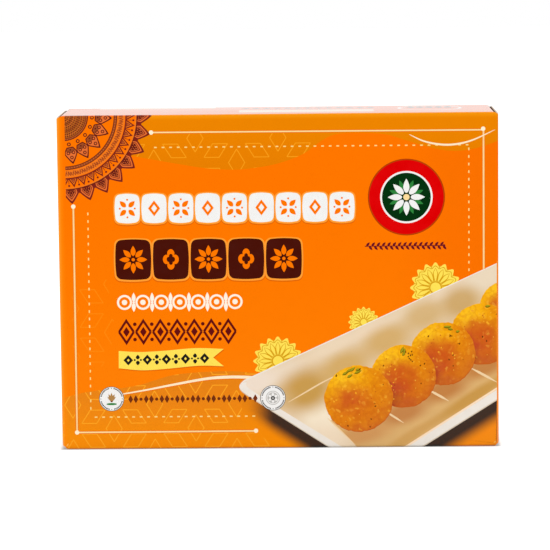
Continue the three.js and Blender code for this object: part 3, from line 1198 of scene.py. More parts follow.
def seal(art, cx, cz, r, kind):
    """A small round mark: a ring of ticks round a plain plant or flower."""
    art.disc("seal_dark", cx, cz, r, 48)
    art.disc("white", cx, cz, 0.955 * r, 48)
    for k in range(48):
        a = 2 * math.pi * k / 48
        if k % 12 in (0,):
            art.disc("grey", *rot2((0.86 * r, 0), a, cx, cz), 0.04 * r, 8)
            continue
        if k % 12 in (1, 11):
            continue
        art.stroke("seal_dark", [rot2((0.81 * r, 0), a, cx, cz), rot2((0.905 * r, 0), a + 0.02, cx, cz)], 0.088 * r)
    if kind == 0:
        art.poly("leaf", circle(cx, cz - 0.42 * r, 0.43 * r, 20, 0.2))
        art.poly("small_dark", circle(cx, cz - 0.16 * r, 0.11 * r, 10))
        for lean, ln, w in ((0.0, 0.66, 0.12), (0.42, 0.6, 0.11), (-0.42, 0.6, 0.11), (0.8, 0.48, 0.08), (-0.8, 0.48, 0.08)):
            art.poly("wheat", leaf(cx, cz - 0.16 * r, QUARTER + lean, ln * r, w * r, 8, 0.7))
    else:
        art.ring("pale_grey", cx, cz, 0.5 * r, 0.56 * r, 40)
        art.disc("pale_grey", cx, cz, 0.44 * r, 30)
        for k in range(6):
            a = math.pi / 3 * k + QUARTER / 3
            art.poly("white", leaf(*rot2((0.12 * r, 0), a, cx, cz), a, 0.3 * r, 0.1 * r, 7, 0.8))
        art.disc("seal_dark", cx, cz - 0.02 * r, 0.17 * r, 14)
        art.disc("pale_grey", cx, cz - 0.02 * r, 0.07 * r, 10)


def frame_line(art, a, b, key, width):
    """A pale frame line with a thin deeper edge."""
    art.stroke("line_shade", [a, b], width + 0.9)
    art.stroke(key, [a, b], width)


def scroll_row(art, key, x0, count, pitch, z, r, pen):
    """Open rings with a bead in each, and a pair of leaves between neighbours."""
    for k in range(count):
        cx = x0 + pitch * k
        art.ring(key, cx, z, r - pen, r, 48)
        art.disc(key, cx, z, 0.36 * r, 18)
        if k < count - 1:
            mx = cx + pitch / 2
            for a in (QUARTER, -QUARTER):
                art.poly(key, leaf(mx, z + math.copysign(0.3, a), a, r * 1.22, pen * 0.95, 9, 0.75))
            art.disc(key, mx, z, pen * 0.62, 12)


def laurel(art, key, x0, x1, z, step, ln, half, pen):
    """A thin stem with leaves leaning along it, on both sides in turn."""
    art.stroke(key, [(x0, z), (x1, z)], pen)
    n = int((x1 - x0) / step)
    for k in range(n):
        x = x0 + step * (k + 0.3)
        for s in (1, -1):
            art.poly(key, leaf(x + (0.5 * step if s < 0 else 0.0), z, 0.85 * s, ln, half, 6, 0.8))
    art.disc(key, x1, z, half * 1.1, 10)


def front_art():
    art = Art()
    top = HIGH + 3
    ground = "orange_front"
    # fields
    art.poly(ground, [(-130, -4), (130, -4), (130, top), (-130, top)])
    curve = smooth(
        [
            (-84.0, 168.9), (-82.4, 168.4), (-54, 163.2), (-40, 161.0), (-26.4, 160.1), (-15.6, 160.7), (-0.9, 163.1),
            (13.9, 168.3), (23.6, 175.1), (31.5, 179.2), (42.8, 180.4), (60.3, 179.5), (72.2, 176.0),
            (81.8, 173.1), (91.4, 170.5), (101.5, 169.6), (111.1, 170.8), (120.7, 173.6), (130, 177.4),
        ],
        5,
    )
    art.poly("ochre_front", [(-76, top), (-84, 172)] + curve + [(130, top)])
    low_curve = smooth(
        [
            (-130, 28.4), (-123.0, 30.1), (-114.4, 32.5), (-102.9, 34.4), (-89.7, 35.5), (-78.2, 37.7),
            (-63.3, 42.2), (-51.8, 43.8), (-37.5, 44.6), (-23.2, 44.5), (-8, 42.6),
        ],
        5,
    )
    lower = low_curve + [(10, -4), (-130, -4)]
    art.clips["lower"] = lower
    art.poly("field_low_front", lower)

    # rhombus lattice, brighter on the fields and faint on the left margin
    art.clips["upper"] = [(-84, 181.0), (-84, 170)] + [p for p in curve if p[0] < 42] + [(43, 181.0)]
    art.clip = "upper"
    lattice(art, "ochre_line", -46.6, 164.1, -3, 4, -3, 1, 0.5)
    art.clip = "lower"
    lattice(art, "low_line", -71.7, 12.0, -4, 4, -2, 3, 0.5)
    art.clips["margin"] = [(-118, 48), (-98, 48), (-94, 72), (-98, 98), (-118, 96)]
    art.clip = "margin"
    lattice(art, "orange_line", -71.7, 12.0, -3, 0, 1, 7, 0.45)
    art.clip = None

    swoosh = smooth([(-89.6, 32.0), (-75.4, 34.4), (-61.2, 37.1), (-42.3, 40.4), (-30.0, 41.3), (-20.0, 41.2), (-12.0, 40.6)], 7)
    n = len(swoosh) - 1
    half = [0.35 + 0.5 * min(1.0, 1.6 * i / n) for i in range(n + 1)]
    art.poly("line_shade", offset_line([(x, z - 0.5) for x, z in swoosh], [-h for h in half]) + offset_line([(x, z - 0.5) for x, z in swoosh], half)[::-1])
    art.poly("swoosh", offset_line(swoosh, [-h for h in half]) + offset_line(swoosh, half)[::-1])

    sweets_picture(art)

    # the picture ends just short of the right fold
    art.poly("fold_edge", [(123.9, -4), (130, -4), (130, 110.5), (123.9, 106.6)])

    # frame lines
    frame_line(art, (-71.2, 181.6), (116.6, 181.4), "cream", 0.8)
    frame_line(art, (116.5, 181.4), (116.5, 102.2), "cream_side", 0.95)
    frame_line(art, (-116.2, 139.7), (-116.4, 9.9), "cream_side", 0.95)
    frame_line(art, (-116.4, 9.9), (-14.0, 10.0), "cream", 0.9)
    for x, z in ((-71.4, 181.6), (116.3, 182.0), (-116.2, 139.9), (-116.4, 9.9), (-13.9, 10.1)):
        art.disc("cream_dot", x, z, 1.25, 24)
    art.dashes("cream_dash", (-69.8, 173.1), (106.6, 173.0), 0.72, 1.5, 4.3)
    art.dashes("cream_dash", (108.2, 171.4), (108.1, 100.5), 0.7, 1.5, 4.3)
    art.dashes("cream_dash", (-108.0, 136.4), (-108.3, 21.2), 0.7, 1.5, 4.3)
    art.dashes("cream_dash", (-106.2, 18.7), (-14.6, 18.6), 0.75, 1.6, 4.3)

    # swooshes
    art.stroke("swoosh", smooth([(74.6, 179.2), (84, 174.9), (96.5, 173.1), (109, 175.2), (123.0, 181.4)], 7), 1.1, taper=True)
    # corner mandala, cut off square at the left margin
    art.clips["corner"] = [(-120.3, 130), (-60, 130), (-60, top), (-120.3, top)]
    art.clip = "corner"
    mandala(art, -121.1, 191.4, -92.0, 4.0)
    art.clip = None

    # rows of ornaments where a pack carries its name
    pitch = (43.1 + 92.4 + 1.5) / 9
    tiles = [(-92.4 + pitch * i, -92.4 + pitch * (i + 1) - 1.5) for i in range(9)]
    ornament_row(art, tiles, 130.4, 146.6, "white", ground, 0.8, "ae", 3.0)
    pitch = (12.9 + 92.5 + 1.7) / 5
    tiles = [(-92.5 + pitch * i, -92.5 + pitch * (i + 1) - 1.7) for i in range(5)]
    ornament_row(art, tiles, 98.0, 120.6, "cocoa", ground, 0.85, "cd", 3.4)

    # two lighter ornament rows
    scroll_row(art, "script_white", -88.0, 7, 10.5, 84.8, 4.3, 1.2)
    for k in range(7):
        cx = -87.2 + 9.7 * k
        cz = 67.8
        art.stroke("script_dark", [(cx - 4.2, cz), (cx, cz + 6.4), (cx + 4.2, cz), (cx, cz - 6.4)], 1.35, closed=True)
        art.poly("script_dark", [(cx - 1.9, cz), (cx, cz - 2.9), (cx + 1.9, cz), (cx, cz + 2.9)])
        if k < 6:
            art.disc("script_dark", cx + 4.85, cz + 4.4, 1.05, 14)
            art.disc("script_dark", cx + 4.85, cz - 4.4, 1.05, 14)

    # ribbon
    def ribbon(dx, dz):
        upper_edge = smooth([(-91.8, 56.9), (-80, 56.2), (-66, 56.8), (-48, 58.2), (-31.8, 57.6)], 6)
        lower_edge = smooth([(-31.9, 47.6), (-46, 48.0), (-62, 46.6), (-78, 45.6), (-91.9, 46.9)], 6)
        return [(x + dx, z + dz) for x, z in upper_edge + [(-37.9, 52.7)] + lower_edge]

    art.poly("title_shade", ribbon(0.25, -0.6))
    art.poly("yellow", ribbon(0, 0))
    for k in range(9):
        cx = -86.4 + 5.45 * k
        cz = 51.5 + 0.02 * (cx + 85)
        if k % 2 == 0:
            art.poly("black", [(cx - 2.75, cz), (cx, cz - 3.0), (cx + 2.75, cz), (cx, cz + 3.0)])
            art.poly("yellow", [(cx - 0.8, cz), (cx, cz - 0.9), (cx + 0.8, cz), (cx, cz + 0.9)])
        else:
            for a in (QUARTER, -QUARTER):
                art.poly("black", leaf(cx, cz + math.copysign(0.35, a), a, 2.7, 1.15, 7, 0.8))
            art.disc("black", cx - 1.75, cz, 0.6, 8)
            art.disc("black", cx + 1.75, cz, 0.6, 8)

    # badge and the sprig under it
    badge(art, 72.8, 143.6, 21.1)
    laurel(art, "plum", 49.0, 94.0, 115.8, 3.0, 3.0, 0.72, 0.5)

    # small row of beads on the lower field, between two seals
    for k in range(25):
        cx = -85.4 + 2.97 * k
        if k % 3 == 2:
            art.disc("small_dark", cx, 28.9, 0.95, 10)
        else:
            art.poly("small_dark", [(cx - 1.36, 28.9), (cx, 26.5), (cx + 1.36, 28.9), (cx, 31.3)])
    seal(art, -96.3, 29.2, 7.15, 0)
    seal(art, -4.0, 29.1, 7.3, 1)
    return art


def with_flowers(art):
    """Puts the yellow flowers under the plate: they go in right after the fields."""
    flowers = Art()
    for cx, cz, r, n in ((-0.9, 50.4, 14.0, 16), (48.1, 72.4, 8.7, 16), (89.1, 91.8, 14.3, 16)):
        rosette(flowers, cx, cz, r, n, 0.0)
    at = next(i for i, layer in enumerate(art.layers) if layer[0] == "shade_left")
    art.layers[at:at] = flowers.layers
    return art


def scuffs(art, lines):
    """Thin worn lines where the printed skin has cracked at a corner's fold."""
    for a, b, width in lines:
        mid = ((a[0] + b[0]) / 2 + 0.12, (a[1] + b[1]) / 2 - 0.1)
        art.stroke("scuff", [a, mid, b], width, taper=True)


# ---------------------------------------------------------------- folding the printed sheet


def quarter_profile(s, low, high, r_low, r_high):
    """Follows a flat stretch from low to high and the quarter folds at both ends.
    s is the distance along the sheet, equal to the coordinate on the flat. Gives (coordinate, depth, angle)."""
    if s > high - r_high and r_high > 0:
        a = (s - (high - r_high)) / r_high
        over = max(0.0, a - QUARTER) * r_high
        a = min(a, QUARTER)
        return high - r_high + r_high * math.sin(a), r_high * (1 - math.cos(a)) + over, a
    if s < low + r_low and r_low > 0:
        a = ((low + r_low) - s) / r_low
        over = max(0.0, a - QUARTER) * r_low
        a = min(a, QUARTER)
        return low + r_low - r_low * math.sin(a), r_low * (1 - math.cos(a)) + over, -a
    return s, 0.0, 0.0


def crown(x, z, hx, z0, z1, height):
    """The filled carton's gentle swell, with its slopes."""
    tx = max(-1.0, min(1.0, x / hx))
    mz, hz = (z0 + z1) / 2, (z1 - z0) / 2
    tz = max(-1.0, min(1.0, (z - mz) / hz))
    wx, wz = (1 - tx * tx) ** 2, (1 - tz * tz) ** 2
    dwx = -4 * tx * (1 - tx * tx) / hx
    dwz = -4 * tz * (1 - tz * tz) / hz
    wave = 0.06 * math.sin(x * 0.055 + 1.3) * math.sin(z * 0.062 + 0.4)
    dwave_x = 0.06 * 0.055 * math.cos(x * 0.055 + 1.3) * math.sin(z * 0.062 + 0.4)
    dwave_z = 0.06 * 0.062 * math.sin(x * 0.055 + 1.3) * math.cos(z * 0.062 + 0.4)
    k = wx * wz
    h = height * k + wave * k
    return h, height * dwx * wz + dwave_x * k, height * wx * dwz + dwave_z * k


def place_wide(side, hinge_r):
    """Front (side -1) or back (side 1) panel: drawing x runs to the panel's own right, z up."""

    def place(u, v):
        x, dx, ax = quarter_profile(u, -HALF_W, HALF_W, hinge_r, hinge_r)
        z, dz, az = quarter_profile(v, 0.0, HIGH, CREASE_R, CREASE_R)
        swell, sx, sz = (0.0, 0.0, 0.0)
        if not dx and not dz:
            swell, sx, sz = crown(x, z, HALF_W - 1.5, 1.1, HIGH - 1.1, 0.55)
        depth = HALF_D - dx - dz + swell
        nx = math.sin(ax) - sx
        nz = math.sin(az) - sz
        ny = math.cos(ax) * math.cos(az)
        n = Vector((nx, -ny, nz)).normalized()
        p = Vector((x, -depth, z))
        if side > 0:
            p = Vector((-p.x, -p.y, p.z))
            n = Vector((-n.x, -n.y, n.z))
        return p, n

    return place


def place_flat_end(side):
    """Top (side 1) or base (side -1) panel with a dust flap turned in at each end: drawing x along X, v along the depth."""
    left_wall, right_wall = HALF_W - CLOSURE_T - SLIT[-1], HALF_W - CLOSURE_T - SLIT[1]

    def place(u, v):
        x, dz, ax = quarter_profile(u, -left_wall, right_wall, DUST_FOLD_R[-1], DUST_FOLD_R[1])
        swell, sx, sy = (0.0, 0.0, 0.0)
        if not dz and side > 0:
            swell, sx, sy = crown(x, v, right_wall - 4, -HALF_D + 1.2, HALF_D - 1.2, 0.3)
        h = HIGH - dz + swell
        n = Vector((math.sin(ax) - sx, -sy, math.cos(ax))).normalized()
        if side > 0:
            return Vector((x, v, h)), n
        return Vector((x, -v, HIGH - h)), Vector((n.x, -n.y, -n.z))

    return place


def place_closure(side):
    """Closure at the right (side 1) or left (side -1) end. Drawing u runs from the hinge on the front
    back to the tuck fold for the right end, and the other way for the left end; v is height."""
    back = HALF_D - BOARD - TUCK_GAP

    def place(u, v):
        s = u if side > 0 else -u  # depth coordinate, front to back
        y, inward, a = quarter_profile(s, -1e6, back, 0.0, HINGE_R)
        swell, ss, sz = (0.0, 0.0, 0.0)
        if not inward:
            swell, ss, sz = crown(y, v, HALF_D - 1.5, 2.0, HIGH - 2.0, 0.22)
        x = HALF_W - inward + swell
        n = Vector((math.cos(a), math.sin(a) - ss, -sz)).normalized()
        return Vector((side * x, y, v)), Vector((side * n.x, n.y, n.z))

    return place


def signed_area(points):
    return 0.5 * sum(
        points[i][0] * points[(i + 1) % len(points)][1]
        - points[(i + 1) % len(points)][0] * points[i][1]
        for i in range(len(points))
    )


def ccw(points):
    return points if signed_area(points) > 0 else points[::-1]


def cut_sheet(outline, art, lines, grid):
    """Lays the art on the sheet and gives (2-D points, triangles, the ink of each, the outer loop)."""
    verts, faces, edges = [], [], []

    def add(points):
        first = len(verts)
        verts.extend(Vector((float(a), float(b))) for a, b in points)
        faces.append(list(range(first, first + len(points))))

    add(ccw(outline))
    clip_id = {}
    for name, points in art.clips.items():
        clip_id[name] = len(faces)
        add(ccw(points))
    first_layer = len(faces)
    for _, points, _ in art.layers:
        add(ccw(points))
    for a, b in lines:
        first = len(verts)
        verts.extend([Vector(a), Vector(b)])
        edges.append((first, first + 1))
    verts.extend(Vector(p) for p in grid)
    out_v, _, out_f, _, _, orig_f = delaunay_2d_cdt(verts, edges, faces, 1, 1e-4, True)
    tris, inks = [], []
    for f, ids in zip(out_f, orig_f):
        if 0 not in ids:
            continue
        present = set(ids)
        best = None
        for k in ids:
            if k < first_layer:
                continue
            clip = art.layers[k - first_layer][2]
            if clip is not None and clip_id[clip] not in present:
                continue
            if best is None or k > best:
                best = k
        tris.append(tuple(f))
        inks.append(art.layers[best - first_layer][0] if best is not None else "orange")
    ahead = {}
    for a, b, c in tris:
        for p, q in ((a, b), (b, c), (c, a)):
            ahead[(p, q)] = True
    rim = {p: q for (p, q) in ahead if (q, p) not in ahead}
    start = next(iter(rim))
    loop, at = [start], rim[start]
    while at != start:
        loop.append(at)
        at = rim[at]
    if len(loop) != len(rim):
        raise RuntimeError("the sheet's rim is more than one loop")
    return out_v, tris, inks, loop


def inner_sheet(points, loop, lines):
    """A coarse sheet with the same rim, for the raw side of the board."""
    rim = [points[i] for i in loop]
    verts = [Vector(p) for p in rim]
    edges = []
    for a, b in lines:
        first = len(verts)
        verts.extend([Vector(a), Vector(b)])
        edges.append((first, first + 1))
    out_v, _, out_f, orig_v, _, orig_f = delaunay_2d_cdt(
        verts, edges, [list(range(len(rim)))], 1, 1e-7, True
    )
    source = {}
    for i, ids in enumerate(orig_v):
        for k in ids:
            if k < len(rim):
                source[i] = k
    tris = [tuple(f) for f, ids in zip(out_f, orig_f) if 0 in ids]
    return out_v, tris, source


def worn(p):
    """Rounds the carton's low corners, the same way for every board that passes through them."""
    r = CORNER_R[1 if p.x > 0 else -1]
    dx, dz = abs(p.x) - (HALF_W - r), r - p.z
    if dx <= 0 or dz <= 0:
        return p
    k = max(dx, dz) / math.hypot(dx, dz)
    return Vector((math.copysign(HALF_W - r + dx * k, p.x), p.y, r - dz * k))


def board_piece(name, outline, art, place, lines, inner_lines, grid, thick=BOARD):
    pts, tris, inks, loop = cut_sheet(outline, art, lines, grid)
    in_v, in_tris, source = inner_sheet(pts, loop, inner_lines)
    used = sorted({i for t in tris for i in t})
    index = {i: k for k, i in enumerate(used)}
    verts, normals = [], []
    for i in used:
        p, n = place(pts[i].x, pts[i].y)
        verts.append(worn(p) * MM)
        normals.append(n)
    inner_of_loop = {}
    in_index = {}
    for i, v in enumerate(in_v):
        k = source.get(i)
        if k is not None:
            flat = pts[loop[k]]
        else:
            flat = v
        p, n = place(flat.x, flat.y)
        in_index[i] = len(verts)
        verts.append(worn(p - n * thick) * MM)
        normals.append(-n)
        if k is not None:
            inner_of_loop[k] = in_index[i]
    faces = [tuple(index[i] for i in t) for t in tris]
    kinds = list(inks)
    flat_normal = [False] * len(faces)
    uv_kind = [0] * len(faces)
    for t in in_tris:
        faces.append(tuple(in_index[i] for i in reversed(t)))
        kinds.append("inside")
        flat_normal.append(False)
        uv_kind.append(1)
    n = len(loop)
    for k in range(n):
        a, b = index[loop[k]], index[loop[(k + 1) % n]]
        a2, b2 = inner_of_loop.get(k), inner_of_loop.get((k + 1) % n)
        if a2 is None or b2 is None:
            raise RuntimeError("the rim's two sides don't match on " + name)
        faces.append((b, a, a2, b2))
        kinds.append("raw")
        flat_normal.append(True)
        uv_kind.append(2 + k)
    mesh = bpy.data.meshes.new(name)
    mesh.from_pydata([tuple(v) for v in verts], [], faces)
    slots = sorted(set(kinds), key=kinds.index)
    for key in slots:
        mesh.materials.append(material(key))
    slot_of = {key: i for i, key in enumerate(slots)}
    mesh.polygons.foreach_set("material_index", [slot_of[k] for k in kinds])
    mesh.polygons.foreach_set("use_smooth", [not f for f in flat_normal])

    # one flat map of the piece: the print large, the raw side small above or beside it, the rim in a strip
    us = [p[0] for p in outline]
    vs = [p[1] for p in outline]
    u0, v0, w, h = min(us), min(vs), max(us) - min(us), max(vs) - min(vs)
    if w >= h:
        k1 = min(0.98 / w, 0.74 / h)
        o2 = (0.01, 0.025 + h * k1)
        k2 = min(0.98 / w, (0.975 - o2[1]) / h)
    else:
        k1 = min(0.74 / w, 0.95 / h)
        o2 = (0.025 + w * k1, 0.01)
        k2 = min((0.985 - o2[0]) / w, 0.95 / h)
    flat_of = {}
    for i in used:
        flat_of[index[i]] = pts[i]
    for i, v in enumerate(in_v):
        flat_of[in_index[i]] = pts[loop[source[i]]] if i in source else v
    run = [0.0]
    for k in range(n):
        a, b = pts[loop[k]], pts[loop[(k + 1) % n]]
        run.append(run[-1] + (b - a).length)
    layer = mesh.uv_layers.new(name="OFBake")
    uv = [0.0] * (2 * len(mesh.loops))
    split = [None] * len(mesh.loops)
    for poly, kind, flat in zip(mesh.polygons, uv_kind, flat_normal):
        for j, li in enumerate(poly.loop_indices):
            vi = mesh.loops[li].vertex_index
            if kind < 2:
                f = flat_of[vi]
                k, o = (k1, (0.01, 0.01)) if kind == 0 else (k2, o2)
                uv[2 * li] = o[0] + (f[0] - u0) * k
                uv[2 * li + 1] = o[1] + (f[1] - v0) * k
                split[li] = tuple(normals[vi])
            else:
                e = kind - 2
                s = run[e + 1] if j in (0, 3) else run[e]
                uv[2 * li] = 0.01 + 0.98 * s / run[-1]
                uv[2 * li + 1] = 0.986 if j in (0, 1) else 0.996
                split[li] = tuple(poly.normal)
    layer.data.foreach_set("uv", uv)
    mesh.normals_split_custom_set(split)
    mesh.validate(verbose=False)
    ob = bpy.data.objects.new(name, mesh)
    bpy.context.scene.collection.objects.link(ob)
    return ob


def grid_points(u0, u1, v0, v1, step, inside):
    out = []
    nu, nv = int((u1 - u0) / step), int((v1 - v0) / step)
    for i in range(nu + 1):
        for j in range(nv + 1):
            p = (u0 + (u1 - u0) * (i + 0.02 * (j % 2)) / nu, v0 + (v1 - v0) * j / nv)
            if inside(p):
                out.append(p)
    return out


def fold_lines(values, a, b, upright):
    """Lines across the sheet at each facet of a fold."""
    return [((v, a), (v, b)) if upright else ((a, v), (b, v)) for v in values]


def fold_steps(start, r, sign, steps=6):
    return [start + sign * r * QUARTER * i / steps for i in range(steps + 1)]


# ---- front panel: turns both long creases and both hinge folds, with its corners cut

REACH_U = HALF_W - HINGE_R + HINGE_R * QUARTER
LOW_V = CREASE_R - CREASE_R * QUARTER
HIGH_V = HIGH - CREASE_R + CREASE_R * QUARTER


def wide_outline(reach, cuts, low, high):
    """Counter-clockwise from the lower left. cuts are (run, drop, swell) for each corner."""
    pts = []
    for (sx, sz), (run, fall, swell) in zip(((-1, -1), (1, -1), (1, 1), (-1, 1)), cuts):
        cx, cz = sx * reach, (low if sz < 0 else high)
        corner = []
        for i in range(7):
            t = i / 6
            out = 1 - swell * math.sin(math.pi * t)
            corner.append((cx - sx * run * (1 - t) * out, cz - sz * fall * t * out))
        if sx * sz > 0:
            corner.reverse()
        if (sx, sz) in ((1, -1), (-1, 1)):
            pass
        pts.append(corner)
    # order the two ends of each corner so that the way round is counter-clockwise
    fixed = []
    for (sx, sz), corner in zip(((-1, -1), (1, -1), (1, 1), (-1, 1)), pts):
        a, b = corner[0], corner[-1]
        horizontal_first = (sx, sz) in ((1, -1), (-1, 1))
        first_is_horizontal = abs(a[1] - (low if sz < 0 else high)) < abs(b[1] - (low if sz < 0 else high))
        fixed.append(corner if horizontal_first == first_is_horizontal else corner[::-1])
    return [p for corner in fixed for p in corner]


EXTRA = (QUARTER - 1) * HINGE_R  # sheet length beyond the flat coordinate on the hinge fold
EXTRA_V = (QUARTER - 1) * CREASE_R
front_cuts = [
    (3.5 + EXTRA, 2.5 + EXTRA_V, 0.10),
    (2.8 + EXTRA, 2.6 + EXTRA_V, 0.22),
    (3.4 + EXTRA, 1.9 + EXTRA_V, 0.05),
    (4.7 + EXTRA, 2.1 + EXTRA_V, 0.05),
]
front_outline = wide_outline(REACH_U, front_cuts, LOW_V, HIGH_V)


def inside_box(u0, u1, v0, v1):
    return lambda p: u0 < p[0] < u1 and v0 < p[1] < v1


u_folds = fold_steps(-(HALF_W - HINGE_R), HINGE_R, -1)[:-1] + fold_steps(HALF_W - HINGE_R, HINGE_R, 1)[:-1]
v_folds = fold_steps(CREASE_R, CREASE_R, -1)[:-1] + fold_steps(HIGH - CREASE_R, CREASE_R, 1)[:-1]
front_lines = fold_lines(u_folds, -3, HIGH + 3, True) + fold_lines(v_folds, -130, 130, False)
inner_u = [x for x in u_folds]
front_inner = fold_lines(inner_u, 4.5, HIGH - 4.5, True) + fold_lines(v_folds, -119.5, 119.5, False)

front = with_flowers(front_art())
scuffs(front, [((-121.6, 3.5), (-123.1, 1.4), 0.9), ((122.0, 1.9), (123.6, 3.3), 0.9)])
panel_front = board_piece(
    "panel_front",
    front_outline,
    front,
    place_wide(-1, HINGE_R),
    front_lines,
    front_inner,
    grid_points(-120, 120, 4, HIGH - 4, 7.5, inside_box(-121, 121, 3, HIGH - 3)),
)

# ---- back panel: the same print, raw board at its two ends

back_reach = HALF_W - BACK_LAP
back_outline = wide_outline(
    back_reach,
    [(2.6, 2.4, 0.1), (2.9, 2.5, 0.1), (2.6, 2.3, 0.08), (2.7, 2.4, 0.08)],
    LOW_V,
    HIGH_V,
)
back_lines = fold_lines(v_folds, -130, 130, False)
back_inner = fold_lines(v_folds, -119.5, 119.5, False)
back = with_flowers(front_art())
panel_back = board_piece(
    "panel_back",
    back_outline,
    back,
    place_wide(1, 0.0),
    back_lines,
    back_inner,
    grid_points(-120, 120, 4, HIGH - 4, 7.5, inside_box(-121, 121, 3, HIGH - 3)),
)


# ---- top and base panels with their dust flaps


def flap_outline():
    left_wall, right_wall = HALF_W - CLOSURE_T - SLIT[-1], HALF_W - CLOSURE_T - SLIT[1]
    hy = HALF_D - CREASE_R
    pts = []
    left, right = DUST_FOLD_R[-1], DUST_FOLD_R[1]
    ul, ur = -(left_wall - left), right_wall - right  # where the folds start
    el, er = ul - left * QUARTER, ur + right * QUARTER  # where the flaps start
    fl, fr = el - DUST_FLAP, er + DUST_FLAP
    pts += [(ul - 0.6, -hy), (ur + 0.6, -hy)]
    pts += [(ur + 1.4, -hy + 1.3), (er, -hy + 1.5), (fr - 4, -hy + 3.0), (fr, -hy + 7.0)]
    pts += [(fr, hy - 7.0), (fr - 4, hy - 3.0), (er, hy - 1.3), (ur + 1.4, hy - 1.1)]
    pts += [(ur + 0.6, hy), (ul - 0.6, hy)]
    pts += [(ul - 1.6, hy - 1.1), (el, hy - 1.3), (fl + 4, hy - 3.0), (fl, hy - 7.0)]
    pts += [(fl, -hy + 7.0), (fl + 4, -hy + 3.0), (el, -hy + 1.5), (ul - 1.6, -hy + 1.3)]
    return pts, (ul, ur, el, er)


def long_art(side):
    """Top (1) and base (-1) print: a pale bar by the back, a row of marks over a pale band, and a capsule."""
    art = Art()
    ground = "orange_lid" if side > 0 else "orange"
    art.poly(ground, [(-165, -35), (165, -35), (165, 35), (-165, 35)])
    if side > 0:
        art.poly("top_band", [(-104.0, 19.0), (-36.5, 19.0), (-36.5, 33.0), (-104.0, 33.0)])
        for k in range(13):
            cx = -18.6 + 6.0 * k
            art.poly("seal_dark", [(cx - 2.7, 13.0), (cx, 6.5), (cx + 2.7, 13.0), (cx, 19.5)])
        art.poly("top_band", rounded_tile(-22.0, -18.0, 55.0, -2.0, 2.0))
        art.poly("white", rounded_tile(69.0, -11.0, 106.0, 24.0, 16.0, 0.0, 9))
        art.poly(ground, rounded_tile(70.6, -9.4, 104.4, 22.4, 14.6, 0.0, 9))
        for k in range(5):
            art.poly("seal_dark", leaf(76.7 + 5.4 * k, 6.5, QUARTER, 15.0, 2.3, 8, 0.8))
    else:
        art.poly("ochre", smooth([(-165, -12), (-110, -4), (-50, -14), (10, -6), (70, -15), (120, -5), (165, -12)], 8) + [(165, -35), (-165, -35)])
        art.poly("white", rounded_tile(-96.0, 2.0, -30.0, 18.0, 2.0))
        for k in range(9):
            cx = 10 + 9.0 * k
            art.poly("cream", [(cx - 2.0, 10.0), (cx, 6.0), (cx + 2.0, 10.0), (cx, 14.0)])
    return art


flap_pts, (ul, ur, el, er) = flap_outline()
end_folds = fold_steps(ul, DUST_FOLD_R[-1], -1) + fold_steps(ur, DUST_FOLD_R[1], 1)
end_lines = fold_lines(end_folds, -34, 34, True)
end_inner = fold_lines(end_folds, -26.5, 26.5, True)
panel_top = board_piece(
    "panel_top", flap_pts, long_art(1), place_flat_end(1), end_lines, end_inner,
    grid_points(-118, 118, -29, 29, 8.0, inside_box(-119, 119, -29.5, 29.5)),
)
panel_base = board_piece(
    "panel_base", flap_pts, long_art(-1), place_flat_end(-1), end_lines, end_inner,
    grid_points(-118, 118, -29, 29, 14.0, inside_box(-119, 119, -29.5, 29.5)),
)


# ---- closures


def closure_outline(side):
    """Hinge edge, long edges stepped in a little past the hinge, tuck fold and tuck flap."""
    front_s = -HALF_D + HINGE_R
    back = HALF_D - BOARD - TUCK_GAP
    fold = back - HINGE_R
    end = fold + HINGE_R * QUARTER + TUCK_FLAP
    cut_top = front_cuts[2 if side > 0 else 3][1] - EXTRA_V
    cut_low = front_cuts[1 if side > 0 else 0][1] - EXTRA_V
    low, high = CLOSURE_LIFT, HIGH - CLOSURE_DROP[side]
    pts = [
        (front_s, cut_low), (front_s + 3.0, low + 0.15), (fold, low), (fold + 2.2, low + 0.6),
        (end - 7, low + 4.5), (end - 1.5, low + 8.5), (end, low + 13),
        (end, high - 13), (end - 1.5, high - 8.5), (end - 7, high - 4.5),
        (fold + 2.2, high - 0.6), (fold, high), (front_s + 3.0, high - 0.15), (front_s, HIGH - cut_top),
    ]
    if side < 0:
        pts = [(-s, v) for s, v in pts]
    return ccw(pts), fold


def closure_art():
    art = Art()
    art.poly("orange", [(-60, -4), (60, -4), (60, HIGH + 4), (-60, HIGH + 4)])
    top_field = smooth([(-60, 163), (-34, 160), (-12, 166), (8, 171), (34, 165), (60, 168)], 8) + [(60, HIGH + 4), (-60, HIGH + 4)]
    low_field = smooth([(-60, 30), (-34, 33), (-10, 27), (12, 24), (34, 30), (60, 28)], 8) + [(60, -4), (-60, -4)]
    art.clips["t"] = top_field
    art.clips["l"] = low_field
    art.poly("ochre", top_field)
    art.poly("field_low", low_field)
    art.clip = "t"
    lattice(art, "ochre_line", 0.0, 178.6, -2, 2, -3, 0, 0.5)
    art.clip = "l"
    lattice(art, "ochre_line", 0.0, 11.5, -2, 2, -3, 2, 0.55)
    art.clip = None
    x0, x1, z0, z1 = -23.0, 23.0, 9.9, 181.4
    for a, b in (((x0, z0), (x1, z0)), ((x1, z0), (x1, z1)), ((x1, z1), (x0, z1)), ((x0, z1), (x0, z0))):
        art.stroke("cream", [a, b], 1.05)
        art.disc("cream_dot", *a, 1.45, 24)
    rosette(art, 0.0, 126.0, 14.3, 16)
    ornament_row(art, [(-11.3, 11.3)], 74.0, 96.6, "cocoa", "orange", 0.9, "c", 4.2)
    vine(art, "white", -19.0, 19.0, 58.0, 1.8, 12.6, 1.2, 3.8, 1.0)
    rosette(art, 0.0, 38.0 + 4.0, 8.7, 16)
    return art


